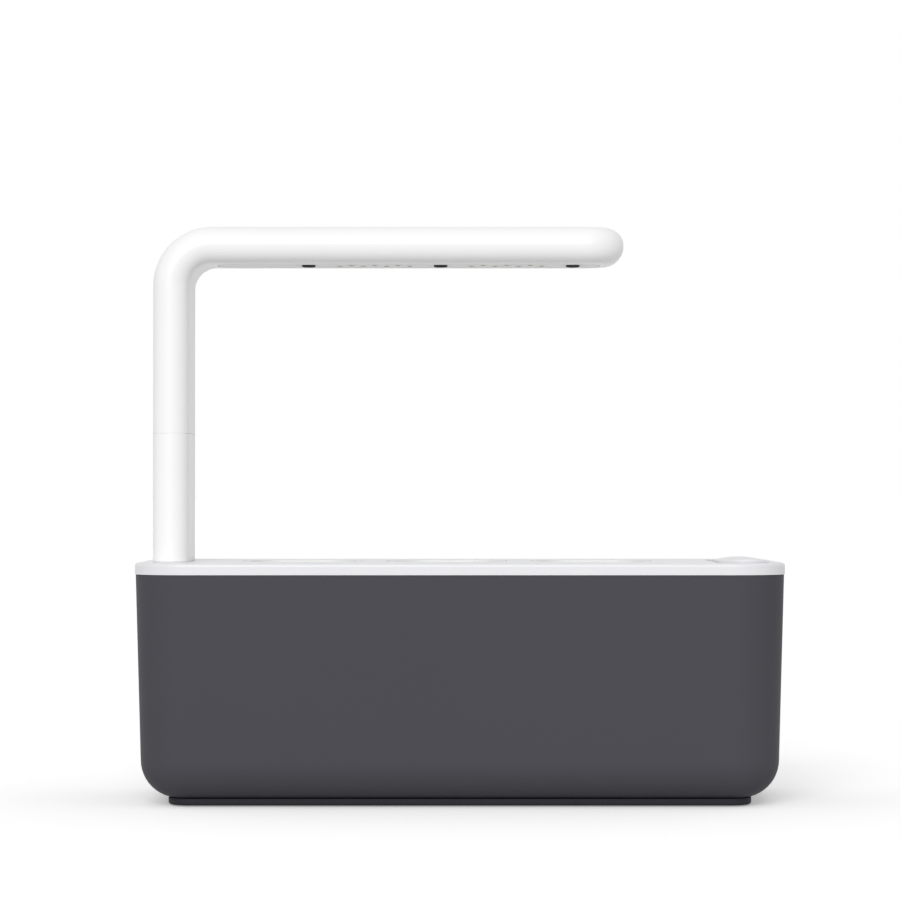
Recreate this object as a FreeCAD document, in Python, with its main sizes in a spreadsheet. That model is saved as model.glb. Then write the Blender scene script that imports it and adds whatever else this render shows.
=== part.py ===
"""Countertop hydroponic garden: water tank, lid with three plant cups, float and lamp arm.

The origin is the middle of the whole object's footprint on the surface it stands on.
+X runs from the lamp post towards the free end of the arm, +Y to the back and +Z up.
"""

import FreeCAD, Part
import math
import os
import Sketcher
from FreeCAD import Vector

# Driving sizes in millimetres. Each one becomes a named cell of the sheet.
SIZES = {
    # Lid plate
    "lid_width": 300.0,
    "lid_depth": 125.0,
    "lid_corner": 24.0,
    "lid_height": 5.4,
    "lid_wall": 2.5,
    "lid_round": 3.0,
    "lid_overhang": 0.4,
    "lid_fit": 0.4,
    "skirt_drop": 8.6,
    "skirt_wall": 1.4,
    # Water tank
    "rim_level": 106.6,
    "tank_floor_level": 3.7,
    "tank_lean": 2.9,
    "tank_wall": 2.2,
    "tank_round": 17.5,
    "rim_round": 0.5,
    # Plinth and its rubber pads
    "plinth_inset": 15.5,
    "plinth_corner": 10.0,
    "plinth_flare": 0.6,
    "plinth_wall": 2.4,
    "plinth_plate": 1.2,
    "pad_radius": 7.0,
    "pad_height": 1.5,
    "pad_stand": 0.5,
    "pad_inset_x": 16.0,
    "pad_inset_y": 15.0,
    "pad_fit": 0.15,
    "peg_radius": 4.0,
    "peg_height": 1.0,
    # Plant cups, grow plugs, labels and wicks
    "cup_middle_x": -6.0,
    "cup_pitch": 68.0,
    "cup_width": 52.0,
    "cup_corner": 16.0,
    "cup_lean": 4.0,
    "cup_depth": 50.0,
    "cup_wall": 1.2,
    "flange_reach": 2.0,
    "flange_height": 1.2,
    "cup_fit": 0.3,
    "collar_wall": 1.5,
    "collar_drop": 8.0,
    "plug_sink": 5.5,
    "plug_fit": 0.3,
    "label_height": 0.5,
    "label_hole": 7.0,
    "drain_radius": 2.0,
    "drain_ring": 13.0,
    "wick_width": 10.0,
    "wick_thickness": 2.0,
    "wick_bite": 12.0,
    "wick_rise": 4.0,
    "wick_fit": 0.2,
    # Fill opening, float and its guide
    "fill_inset": 18.9,
    "fill_front": 10.5,
    "fill_back": 16.5,
    "fill_width": 25.4,
    "fill_corner": 12.0,
    "float_gap": 1.6,
    "float_length": 54.0,
    "float_travel": 22.0,
    "float_edge_level": 113.3,
    "float_skirt": 4.1,
    "float_wall": 1.4,
    "float_crown": 42.0,
    "float_long_crown": 300.0,
    "float_round": 0.9,
    "stem_width": 7.0,
    "stem_fit": 0.3,
    "block_width": 20.0,
    "block_length": 46.0,
    "block_height": 18.0,
    "block_level": 40.0,
    "guide_wall": 1.2,
    "guide_floor": 2.0,
    "guide_drain": 1.6,
    # Lamp post and arm
    "post_inset": 14.95,
    "arm_thickness": 17.0,
    "arm_depth": 52.0,
    "arm_edge": 8.2,
    "arm_bend": 19.0,
    "arm_top": 268.7,
    "arm_reach": 212.25,
    "arm_plan_corner": 18.0,
    "arm_wall": 2.0,
    "seam_level": 172.0,
    "seam_groove": 0.3,
    # Plug-in spigot of the post and of the arm
    "spigot_width": 12.6,
    "spigot_depth": 44.0,
    "spigot_corner": 4.8,
    "spigot_length": 27.5,
    "spigot_wall": 1.6,
    "spigot_fit": 0.3,
    "carrier_height": 5.0,
    "carrier_fit": 0.1,
    "contact_radius": 1.1,
    "contact_pitch": 12.0,
    "contact_tail": 2.5,
    "spring_radius": 0.8,
    "spring_stand": 1.5,
    "block_rise": 6.5,
    "lead_radius": 0.8,
    "lead_slant": 4.0,
    "lead_lap": 3.0,
    "wire_clear": 3.2,
    "wire_gap": 2.6,
    # Socket housing under the lid
    "housing_wall": 2.0,
    "housing_drop": 32.5,
    "bay_left": 5.95,
    "bay_right": 27.05,
    "bay_back": 50.0,
    "bay_wall": 2.0,
    "bay_divider": 4.0,
    "duct_width": 6.0,
    "seal_height": 1.0,
    "cover_height": 2.0,
    "screw_radius": 1.4,
    "screw_head_radius": 2.8,
    "screw_head_height": 1.8,
    "screw_fit": 0.1,
    "screw_boss": 3.0,
    "screw_tuck": 2.3,
    "screw_front": 16.0,
    "screw_back": 14.0,
    "bay_screw": 37.0,
    "screw_bite": 8.0,
    "boss_drop": 12.0,
    # Power inlet
    "inlet_inset": 32.5,
    "inlet_level": 100.0,
    "inlet_width": 9.0,
    "inlet_height": 10.0,
    "inlet_length": 10.0,
    "inlet_nose": 4.0,
    "inlet_bore": 2.9,
    "inlet_bore_depth": 9.5,
    "inlet_pin": 1.0,
    "inlet_recess": 0.8,
    "inlet_fit": 0.15,
    "notch_width": 15.0,
    "notch_depth": 13.0,
    "notch_fit": 0.4,
    # Lamp panel and what lies behind it
    "panel_start": 21.05,
    "panel_length": 180.0,
    "panel_width": 32.0,
    "panel_corner": 14.0,
    "panel_height": 1.5,
    "panel_fit": 0.3,
    "ledge": 2.0,
    "ledge_height": 1.5,
    "gasket_height": 0.5,
    "gasket_width": 1.5,
    "dish_radius": 6.8,
    "dish_depth": 0.4,
    "plug_radius": 3.2,
    "plug_stand": 0.8,
    "plug_bite": 1.9,
    "cup_hole_fit": 0.15,
    "cup_outer": 5.0,
    "cup_rise": 3.3,
    "cup_floor": 1.0,
    "screw_post_radius": 4.0,
    "screw_span": 62.5,
    "screw_shift": 15.05,
    "led_pitch": 5.54,
    "led_zigzag": 2.75,
    "led_group_shift": 31.27,
    "led_radius": 1.7,
    "led_window": 2.1,
    "led_height": 1.9,
    "led_base": 0.8,
    "led_lens": 1.35,
    "board_width": 26.0,
    "board_length": 166.0,
    "board_height": 1.2,
    "board_corner": 9.0,
    "board_start": 6.0,
    "spreader_start": 16.0,
    "spreader_height": 1.5,
    "connector_length": 6.0,
    "connector_width": 10.0,
    "connector_height": 4.0,
    "connector_inset": 1.0,
    "feed_level": 257.0,
    # Driver board in the post
    "driver_level": 182.0,
    "driver_height": 46.0,
    "driver_width": 40.0,
    "driver_thickness": 1.2,
    "rail_reach": 3.0,
    "rail_thickness": 4.0,
    "rail_fit": 0.15,
    "coil_radius": 4.5,
    "coil_height": 4.0,
    "capacitor_radius": 2.5,
    "capacitor_height": 4.5,
    "chip_size": 5.0,
    "chip_height": 1.4,
}

CUP_NAMES = ("left", "middle", "right")

# How far a cut runs past the face it leaves by, and a joined rib into its wall
OVER = 1.0
BITE = 0.2

# How near the lamp leads' round comes to the corner that they go round
CORNER_SHARE = 0.3

DOC = FreeCAD.newDocument("CountertopGarden")
SHEET = DOC.addObject("Spreadsheet::Sheet", "Sizes")


class Size:
    """A length that knows its number and its formula over the sheet's cells."""

    def __init__(self, value, text):
        self.value = value
        self.text = text

    def __add__(self, other):
        other = as_size(other)
        return Size(self.value + other.value, f"({self.text} + {other.text})")

    def __sub__(self, other):
        other = as_size(other)
        return Size(self.value - other.value, f"({self.text} - {other.text})")

    def __mul__(self, other):
        other = as_size(other)
        return Size(self.value * other.value, f"({self.text} * {other.text})")

    def __truediv__(self, other):
        other = as_size(other)
        return Size(self.value / other.value, f"({self.text} / {other.text})")

    def __neg__(self):
        return Size(-self.value, f"(0 - {self.text})")

    __radd__ = __add__
    __rmul__ = __mul__

    def __rsub__(self, other):
        return as_size(other) - self


def as_size(thing):
    """Give a plain number the same form as a named size."""
    return thing if isinstance(thing, Size) else Size(float(thing), repr(float(thing)))


def fill_sheet():
    """Write the driving sizes to the sheet and return them by name."""
    for row, (name, value) in enumerate(SIZES.items(), start=1):
        SHEET.set(f"A{row}", name)
        SHEET.set(f"B{row}", str(value))
        SHEET.setAlias(f"B{row}", name)
    DOC.recompute()
    return {name: Size(value, f"Sizes.{name}") for name, value in SIZES.items()}


S = fill_sheet()

# Levels and outlines that several pieces share
LID_TOP = S["rim_level"] + S["lid_height"]
LID_UNDER = LID_TOP - S["lid_wall"]
TANK_WIDTH = S["lid_width"] - 2 * S["lid_overhang"]
TANK_DEPTH = S["lid_depth"] - 2 * S["lid_overhang"]
TANK_CORNER = S["lid_corner"] - S["lid_overhang"]
TANK_HEIGHT = S["rim_level"] - S["tank_floor_level"]
SKIRT_LEAN = S["tank_lean"] * S["skirt_drop"] / TANK_HEIGHT
SKIRT_INSET = S["tank_wall"] + S["lid_fit"] + SKIRT_LEAN
ARM_UNDER = S["arm_top"] - S["arm_thickness"]
CAVITY_FLOOR = ARM_UNDER + S["arm_wall"]
WELL_WIDTH = S["spigot_width"] + 2 * S["spigot_fit"]
WELL_DEPTH = S["spigot_depth"] + 2 * S["spigot_fit"]
WELL_CORNER = S["spigot_corner"] + S["spigot_fit"]
HOUSING_UNDER = LID_UNDER - S["housing_drop"]
COVER_TOP = HOUSING_UNDER - S["seal_height"]
COVER_UNDER = COVER_TOP - S["cover_height"]
BOSS_UNDER = LID_UNDER - S["boss_drop"]
POST_X = S["post_inset"] - S["lid_width"] / 2
INLET_X = S["inlet_inset"] - S["lid_width"] / 2
FILL_X = S["lid_width"] / 2 - S["fill_inset"]
FILL_Y = (S["fill_front"] - S["fill_back"]) / 2
FILL_LENGTH = S["lid_depth"] - S["fill_front"] - S["fill_back"]
ARM_END = POST_X + S["arm_reach"]
PANEL_LEFT = POST_X + S["panel_start"]
PANEL_MIDDLE = PANEL_LEFT + S["panel_length"] / 2
SCREW_MIDDLE = PANEL_MIDDLE + S["screw_shift"]
PANEL_BACK = ARM_UNDER + S["panel_height"]
BOARD_BACK = PANEL_BACK + S["board_height"]
SPREADER_BACK = BOARD_BACK + S["spreader_height"]
CUP_BACK = PANEL_BACK + S["cup_rise"]
FLOAT_WIDTH = S["fill_width"] - 2 * S["float_gap"]
FLOAT_Y = FILL_Y - FILL_LENGTH / 2 + S["float_gap"] + S["float_length"] / 2
FLOAT_UNDER = S["float_edge_level"] - S["float_skirt"]
GUIDE_FLOOR = FLOAT_UNDER - S["float_travel"] - S["stem_fit"]
SCREW_XS = tuple(SCREW_MIDDLE + k * S["screw_span"] for k in (-1, 0, 1))


def led_places():
    """Return the X and Y of each lamp, two zigzag rows of seven."""
    places = []
    for side in (-1, 1):
        for k in range(-3, 4):
            x = SCREW_MIDDLE + side * S["led_group_shift"] + k * S["led_pitch"]
            y = S["led_zigzag"] if k % 2 else -S["led_zigzag"]
            places.append((x, y))
    return places


def bind(thing, prop, size):
    """Tie a property to a formula over the sheet."""
    thing.setExpression(prop, as_size(size).text)


def settle(feature):
    """Recompute a feature with what it needs, and stop if it failed."""
    feature.recompute(True)
    if "Invalid" in feature.State or feature.Shape.isNull():
        raise RuntimeError(f"{feature.Label} failed: {feature.State} {feature.getStatusString()}")
    return feature


def new_body(label):
    """Add a body whose label names its file."""
    body = DOC.addObject("PartDesign::Body", label)
    body.Label = label
    return body


def sketch_on(body, name, role="XY_Plane", x=0, y=0, z=0):
    """Attach a sketch to an origin plane, moved by x, y and z in the plane's own axes."""
    plane = next(item for item in body.Origin.OriginFeatures if item.Role == role)
    sketch = body.newObject("Sketcher::SketchObject", name)
    sketch.AttachmentSupport = [(plane, "")]
    sketch.MapMode = "FlatFace"
    for axis, shift in (("x", x), ("y", y), ("z", z)):
        bind(sketch, f".AttachmentOffset.Base.{axis}", shift)
    return sketch


def constrain(sketch, name, constraint, size):
    """Add a named driving dimension and tie it to the sheet."""
    index = sketch.addConstraint(constraint)
    sketch.renameConstraint(index, name)
    bind(sketch, f"Constraints.{name}", size)


def add_rectangle(sketch, width, depth, tag="box"):
    """Draw a rectangle centred on the sketch's origin."""
    first = sketch.GeometryCount
    w, d = as_size(width), as_size(depth)
    corners = [Vector(sx * w.value / 2, sy * d.value / 2, 0)
               for sx, sy in ((-1, -1), (1, -1), (1, 1), (-1, 1))]
    for k in range(4):
        sketch.addGeometry(Part.LineSegment(corners[k], corners[(k + 1) % 4]), False)
    for k in range(4):
        sketch.addConstraint(Sketcher.Constraint("Coincident", first + k, 2, first + (k + 1) % 4, 1))
    for k, kind in enumerate(("Horizontal", "Vertical", "Horizontal", "Vertical")):
        sketch.addConstraint(Sketcher.Constraint(kind, first + k))
    sketch.addConstraint(Sketcher.Constraint("Symmetric", first, 1, first + 2, 1, -1, 1))
    wide = Sketcher.Constraint("DistanceX", first, 1, first, 2, w.value)
    constrain(sketch, f"{tag}_width", wide, w)
    deep = Sketcher.Constraint("DistanceY", first + 1, 1, first + 1, 2, d.value)
    constrain(sketch, f"{tag}_depth", deep, d)


def add_round_box(sketch, width, depth, corner, tag="box"):
    """Draw a rectangle with round corners centred on the sketch's origin."""
    first = sketch.GeometryCount
    w, d, r = as_size(width), as_size(depth), as_size(corner)
    x, y = w.value / 2 - r.value, d.value / 2 - r.value
    centres = ((x, -y), (x, y), (-x, y), (-x, -y))
    for k, (cx, cy) in enumerate(centres):
        px, py = centres[k - 1]
        out = Vector(math.sin(math.pi / 2 * k), -math.cos(math.pi / 2 * k), 0) * r.value
        line = Part.LineSegment(Vector(px, py, 0) + out, Vector(cx, cy, 0) + out)
        sketch.addGeometry(line, False)
        circle = Part.Circle(Vector(cx, cy, 0), Vector(0, 0, 1), r.value)
        start = math.pi / 2 * (k - 1)
        sketch.addGeometry(Part.ArcOfCircle(circle, start, start + math.pi / 2), False)
    for k in range(4):
        line, arc, after = first + 2 * k, first + 2 * k + 1, first + (2 * k + 2) % 8
        sketch.addConstraint(Sketcher.Constraint("Tangent", line, 2, arc, 1))
        sketch.addConstraint(Sketcher.Constraint("Tangent", arc, 2, after, 1))
        sketch.addConstraint(Sketcher.Constraint("Vertical" if k % 2 else "Horizontal", line))
    for k in range(1, 4):
        sketch.addConstraint(Sketcher.Constraint("Equal", first + 1, first + 2 * k + 1))
    sketch.addConstraint(Sketcher.Constraint("Symmetric", first + 1, 3, first + 5, 3, -1, 1))
    wide = Sketcher.Constraint("DistanceX", first, 1, first, 2, 2 * x)
    constrain(sketch, f"{tag}_width", wide, w - 2 * r)
    deep = Sketcher.Constraint("DistanceY", first + 2, 1, first + 2, 2, 2 * y)
    constrain(sketch, f"{tag}_depth", deep, d - 2 * r)
    constrain(sketch, f"{tag}_corner", Sketcher.Constraint("Radius", first + 1, r.value), r)


def add_circle(sketch, radius, x=0, y=0, tag="ring"):
    """Draw a circle at x and y from the sketch's origin."""
    index = sketch.GeometryCount
    r, x, y = as_size(radius), as_size(x), as_size(y)
    sketch.addGeometry(Part.Circle(Vector(x.value, y.value, 0), Vector(0, 0, 1), r.value), False)
    constrain(sketch, f"{tag}_radius", Sketcher.Constraint("Radius", index, r.value), r)
    across = Sketcher.Constraint("DistanceX", -1, 1, index, 3, x.value)
    constrain(sketch, f"{tag}_x", across, x)
    along = Sketcher.Constraint("DistanceY", -1, 1, index, 3, y.value)
    constrain(sketch, f"{tag}_y", along, y)


def add_polygon(sketch, points, tag="corner"):
    """Draw a closed outline of straight lines through points given from the sketch's origin."""
    first = sketch.GeometryCount
    count = len(points)
    places = [(as_size(x), as_size(y)) for x, y in points]
    for k in range(count):
        start = Vector(places[k][0].value, places[k][1].value, 0)
        after = places[(k + 1) % count]
        sketch.addGeometry(Part.LineSegment(start, Vector(after[0].value, after[1].value, 0)), False)
    for k, (x, y) in enumerate(places):
        sketch.addConstraint(Sketcher.Constraint("Coincident", first + k, 2, first + (k + 1) % count, 1))
        across = Sketcher.Constraint("DistanceX", -1, 1, first + k, 1, x.value)
        constrain(sketch, f"{tag}{k}_x", across, x)
        along = Sketcher.Constraint("DistanceY", -1, 1, first + k, 1, y.value)
        constrain(sketch, f"{tag}{k}_y", along, y)


def pad(body, name, sketch, length, down=False):
    """Raise a sketch along its plane's normal, or against it."""
    feature = body.newObject("PartDesign::Pad", name)
    feature.Profile = sketch
    feature.Reversed = down
    bind(feature, "Length", length)
    return settle(feature)


def cut(body, name, sketch, depth, up=False):
    """Cut a sketch against its plane's normal, or along it, and make sure that it bites."""
    before = body.Tip.Shape.Volume
    feature = body.newObject("PartDesign::Pocket", name)
    feature.Profile = sketch
    feature.Reversed = up
    bind(feature, "Length", depth)
    settle(feature)
    if not feature.Shape.Volume < before:
        raise RuntimeError(f"{body.Label}: {name} removes nothing")
    return feature


def loft(body, name, first, second, hollow=False):
    """Join two sketches by straight sides, as a solid or as a cut."""
    kind = "PartDesign::SubtractiveLoft" if hollow else "PartDesign::AdditiveLoft"
    feature = body.newObject(kind, name)
    feature.Profile = first
    feature.Sections = [second]
    feature.Ruled = True
    return settle(feature)


def dress(body, kind, name, size, picks, prop):
    """Round or bevel the edges that the test picks on the body's latest feature."""
    base = body.Tip
    edges = [f"Edge{k}" for k, edge in enumerate(base.Shape.Edges, start=1) if picks(edge)]
    feature = body.newObject(kind, name)
    feature.Base = (base, edges)
    bind(feature, prop, size)
    return settle(feature)


def fillet(body, name, radius, picks):
    """Round the picked edges."""
    return dress(body, "PartDesign::Fillet", name, radius, picks, "Radius")


def flat_at(edge, level):
    """Tell whether an edge lies in the level plane."""
    box = edge.BoundBox
    return box.ZLength < 0.01 and abs(box.Center.z - as_size(level).value) < 0.01


def combine(kind, label, base, tool):
    """Cut one shape from another or join two, as an object with its own label."""
    result = DOC.addObject(kind, label)
    result.Label = label
    if kind == "Part::MultiFuse":
        result.Shapes = [base] + tool
    else:
        result.Base = base
        result.Tool = tool
    return settle(result)


# Water tank, plinth and pads


def make_tank_block(label, inset, low, top):
    """Leaning block with a wide round at its foot, drawn in by inset from the tank's outside."""
    body = new_body(label)
    lean = S["tank_lean"] / TANK_HEIGHT
    mouth, foot = inset - lean * (top - S["rim_level"]), inset + lean * (S["rim_level"] - low)
    upper = sketch_on(body, "Upper", z=top)
    add_round_box(upper, TANK_WIDTH - 2 * mouth, TANK_DEPTH - 2 * mouth, TANK_CORNER - mouth)
    lower = sketch_on(body, "Lower", z=low)
    add_round_box(lower, TANK_WIDTH - 2 * foot, TANK_DEPTH - 2 * foot, TANK_CORNER - foot)
    loft(body, "Block", upper, lower)
    fillet(body, "FootRound", S["tank_round"] - inset, lambda e: flat_at(e, low))
    return body


def make_water_tank():
    """Open tank with leaning walls, a wide round at the floor and a notch for the power inlet."""
    wall = S["tank_wall"]
    outside = make_tank_block("TankOutside", as_size(0), S["tank_floor_level"], S["rim_level"])
    fillet(outside, "RimEdge", S["rim_round"], lambda e: flat_at(e, S["rim_level"]))
    inside = make_tank_block("TankInside", wall, S["tank_floor_level"] + wall, S["rim_level"] + OVER)
    hull = combine("Part::Cut", "TankHull", outside, inside)
    cuts = new_body("TankCuts")
    notch = sketch_on(cuts, "InletNotch", "XZ_Plane", x=INLET_X, y=S["rim_level"], z=-TANK_DEPTH / 2 - OVER)
    add_rectangle(notch, S["notch_width"], 2 * S["notch_depth"])
    pad(cuts, "InletNotchPad", notch, 3 * wall)
    sockets = sketch_on(cuts, "PegSockets", z=S["tank_floor_level"] - OVER)
    corner_circles(sockets, S["peg_radius"] + S["pad_fit"])
    pad(cuts, "PegSocketPad", sockets, S["peg_height"] + S["pad_fit"] + OVER)
    return combine("Part::Cut", "water_tank", hull, cuts)


def plinth_size():
    """Return the plinth's width and depth at its top."""
    return S["lid_width"] - 2 * S["plinth_inset"], S["lid_depth"] - 2 * S["plinth_inset"]


def pad_place(side_x, side_y):
    """Return the X and Y of the pad in one corner of the plinth."""
    width, depth = plinth_size()
    return side_x * (width / 2 - S["pad_inset_x"]), side_y * (depth / 2 - S["pad_inset_y"])


def corner_circles(sketch, radius):
    """Draw a circle at each of the four pads."""
    for k, (sx, sy) in enumerate(((-1, -1), (1, -1), (1, 1), (-1, 1))):
        add_circle(sketch, radius, *pad_place(sx, sy), tag=f"pad{k}")


def make_base_plinth():
    """Recessed foot tray under the tank, hollow from below, with seats for the pads."""
    body = new_body("base_plinth")
    width, depth = plinth_size()
    top = sketch_on(body, "TopOutline", z=S["tank_floor_level"])
    add_round_box(top, width, depth, S["plinth_corner"])
    flare = S["plinth_flare"]
    low = sketch_on(body, "LowOutline", z=S["pad_stand"])
    add_round_box(low, width + 2 * flare, depth + 2 * flare, S["plinth_corner"] + flare)
    loft(body, "Block", top, low)
    height = S["tank_floor_level"] - S["pad_stand"]
    inside = sketch_on(body, "Underside", z=S["pad_stand"])
    wall = S["plinth_wall"]
    add_round_box(inside, width - 2 * wall, depth - 2 * wall, S["plinth_corner"] - wall)
    cut(body, "UndersideCut", inside, height - S["plinth_plate"], up=True)
    seats = sketch_on(body, "SeatBosses", z=S["pad_stand"])
    corner_circles(seats, S["pad_radius"] + wall)
    pad(body, "SeatBossPad", seats, height - S["plinth_plate"] / 2)
    recess = sketch_on(body, "SeatRecess", z=S["pad_stand"])
    corner_circles(recess, S["pad_radius"] + S["pad_fit"])
    cut(body, "SeatRecessCut", recess, S["pad_height"] - S["pad_stand"], up=True)
    pegs = sketch_on(body, "Pegs", z=S["tank_floor_level"] - S["plinth_plate"] / 2)
    corner_circles(pegs, S["peg_radius"])
    pad(body, "PegPad", pegs, S["plinth_plate"] / 2 + S["peg_height"])
    return body


def make_rubber_feet():
    """Four round pads that carry the garden."""
    body = new_body("rubber_feet")
    plan = sketch_on(body, "Pads")
    corner_circles(plan, S["pad_radius"])
    pad(body, "PadBlock", plan, S["pad_height"])
    fillet(body, "PadEdge", S["pad_stand"] / 2, lambda e: flat_at(e, 0))
    return body


# Lid


def make_lid_cover():
    """Lid plate with rim, skirt, cup seats, post opening, fill opening and inlet tab."""
    body = new_body("lid_cover")
    plate = sketch_on(body, "Plate", z=S["rim_level"])
    add_round_box(plate, S["lid_width"], S["lid_depth"], S["lid_corner"])
    pad(body, "PlatePad", plate, S["lid_height"])
    fillet(body, "TopEdge", S["lid_round"], lambda e: flat_at(e, LID_TOP))
    under = sketch_on(body, "Underside", z=S["rim_level"])
    rim = S["lid_overhang"] + S["tank_wall"]
    add_round_box(under, S["lid_width"] - 2 * rim, S["lid_depth"] - 2 * rim, S["lid_corner"] - rim)
    cut(body, "UndersideCut", under, S["lid_height"] - S["lid_wall"], up=True)
    skirt = sketch_on(body, "Skirt", z=S["rim_level"] - S["skirt_drop"])
    inset, wall = SKIRT_INSET, S["skirt_wall"]
    add_round_box(skirt, TANK_WIDTH - 2 * inset, TANK_DEPTH - 2 * inset, TANK_CORNER - inset, "outer")
    inner = inset + wall
    add_round_box(skirt, TANK_WIDTH - 2 * inner, TANK_DEPTH - 2 * inner, TANK_CORNER - inner, "inner")
    pad(body, "SkirtPad", skirt, LID_UNDER - S["rim_level"] + S["skirt_drop"] + BITE)
    for k, name in enumerate(CUP_NAMES):
        add_cup_seat(body, name, S["cup_middle_x"] + (k - 1) * S["cup_pitch"])
    well = sketch_on(body, "PostOpening", x=POST_X, z=LID_TOP)
    add_round_box(well, WELL_WIDTH, WELL_DEPTH, WELL_CORNER)
    cut(body, "PostOpeningCut", well, 2 * S["lid_wall"])
    fill = sketch_on(body, "FillOpening", x=FILL_X, y=FILL_Y, z=LID_TOP)
    add_round_box(fill, S["fill_width"], FILL_LENGTH, S["fill_corner"])
    cut(body, "FillOpeningCut", fill, 2 * S["lid_wall"])
    fillet(body, "FillEdge", S["lid_wall"] / 4,
           lambda e: flat_at(e, LID_TOP) and e.BoundBox.XMin > FILL_X.value - S["fill_width"].value
           and e.BoundBox.XMax < FILL_X.value + S["fill_width"].value / 2 + 0.1)
    add_inlet_tab(body)
    bosses = sketch_on(body, "ScrewBosses", x=POST_X, z=BOSS_UNDER)
    screw_circles(bosses, S["screw_boss"])
    pad(body, "ScrewBossPad", bosses, S["boss_drop"] + BITE)
    pilots = sketch_on(body, "ScrewPilots", x=POST_X, z=BOSS_UNDER)
    screw_circles(pilots, S["screw_radius"] + S["screw_fit"] / 2)
    cut(body, "ScrewPilotCut", pilots, S["screw_bite"] + OVER, up=True)
    return body


def add_cup_seat(body, name, x):
    """Give the lid a collar, a hole and a flush recess for one plant cup."""
    width, corner, fit = S["cup_width"], S["cup_corner"], S["cup_fit"]
    hole_width, hole_corner = width + 2 * fit, corner + fit
    collar = sketch_on(body, f"Collar_{name}", x=x, z=LID_UNDER - S["collar_drop"])
    grow = S["collar_wall"]
    add_round_box(collar, hole_width + 2 * grow, hole_width + 2 * grow, hole_corner + grow)
    pad(body, f"CollarPad_{name}", collar, S["collar_drop"] + BITE)
    hole = sketch_on(body, f"CupHole_{name}", x=x, z=LID_TOP)
    add_round_box(hole, hole_width, hole_width, hole_corner)
    cut(body, f"CupHoleCut_{name}", hole, S["lid_wall"] + S["collar_drop"] + OVER)
    seat = sketch_on(body, f"Seat_{name}", x=x, z=LID_TOP)
    seat_width = width + 2 * S["flange_reach"] + 2 * fit
    add_round_box(seat, seat_width, seat_width, corner + S["flange_reach"] + fit)
    cut(body, f"SeatCut_{name}", seat, S["flange_height"])


def add_inlet_tab(body):
    """Give the lid a tab that fills the notch in the tank's back wall and holds the inlet's nose."""
    low = S["rim_level"] - S["notch_depth"] + S["notch_fit"]
    back = TANK_DEPTH / 2 - S["inlet_recess"]
    front = TANK_DEPTH / 2 - SKIRT_INSET - S["skirt_wall"]
    tab = sketch_on(body, "InletTab", x=INLET_X, y=(back + front) / 2, z=low)
    add_rectangle(tab, S["notch_width"] - 2 * S["notch_fit"], back - front)
    pad(body, "InletTabPad", tab, LID_UNDER - low + BITE)
    bore = sketch_on(body, "InletHole", "XZ_Plane", x=INLET_X, y=S["inlet_level"], z=-back - OVER)
    add_circle(bore, S["inlet_nose"] + S["inlet_fit"])
    cut(body, "InletHoleCut", bore, back - front + 2 * OVER, up=True)


def screw_places():
    """Return the X and Y of the socket cover's screws, from the post's middle."""
    side = WELL_WIDTH / 2 + S["housing_wall"] + S["screw_tuck"]
    return ((side, -S["screw_front"]), (side, S["screw_back"]),
            (S["bay_right"] + S["screw_tuck"], S["bay_screw"]),
            (-(S["bay_left"] + S["screw_tuck"]), S["bay_screw"]))


def screw_circles(sketch, radius):
    """Draw a circle at each screw of the socket cover."""
    for k, (x, y) in enumerate(screw_places()):
        add_circle(sketch, radius, x, y, tag=f"screw{k}")


# Socket housing, its cover and the power inlet


def housing_outline():
    """Return the corners of the housing's plan from the post's middle."""
    side = WELL_WIDTH / 2 + S["housing_wall"]
    front = WELL_DEPTH / 2 + S["housing_wall"]
    left, right, back = S["bay_left"], S["bay_right"], S["bay_back"]
    return ((-side, -front), (side, -front), (side, front), (right, front), (right, back),
            (-left, back), (-left, front), (-side, front))


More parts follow.
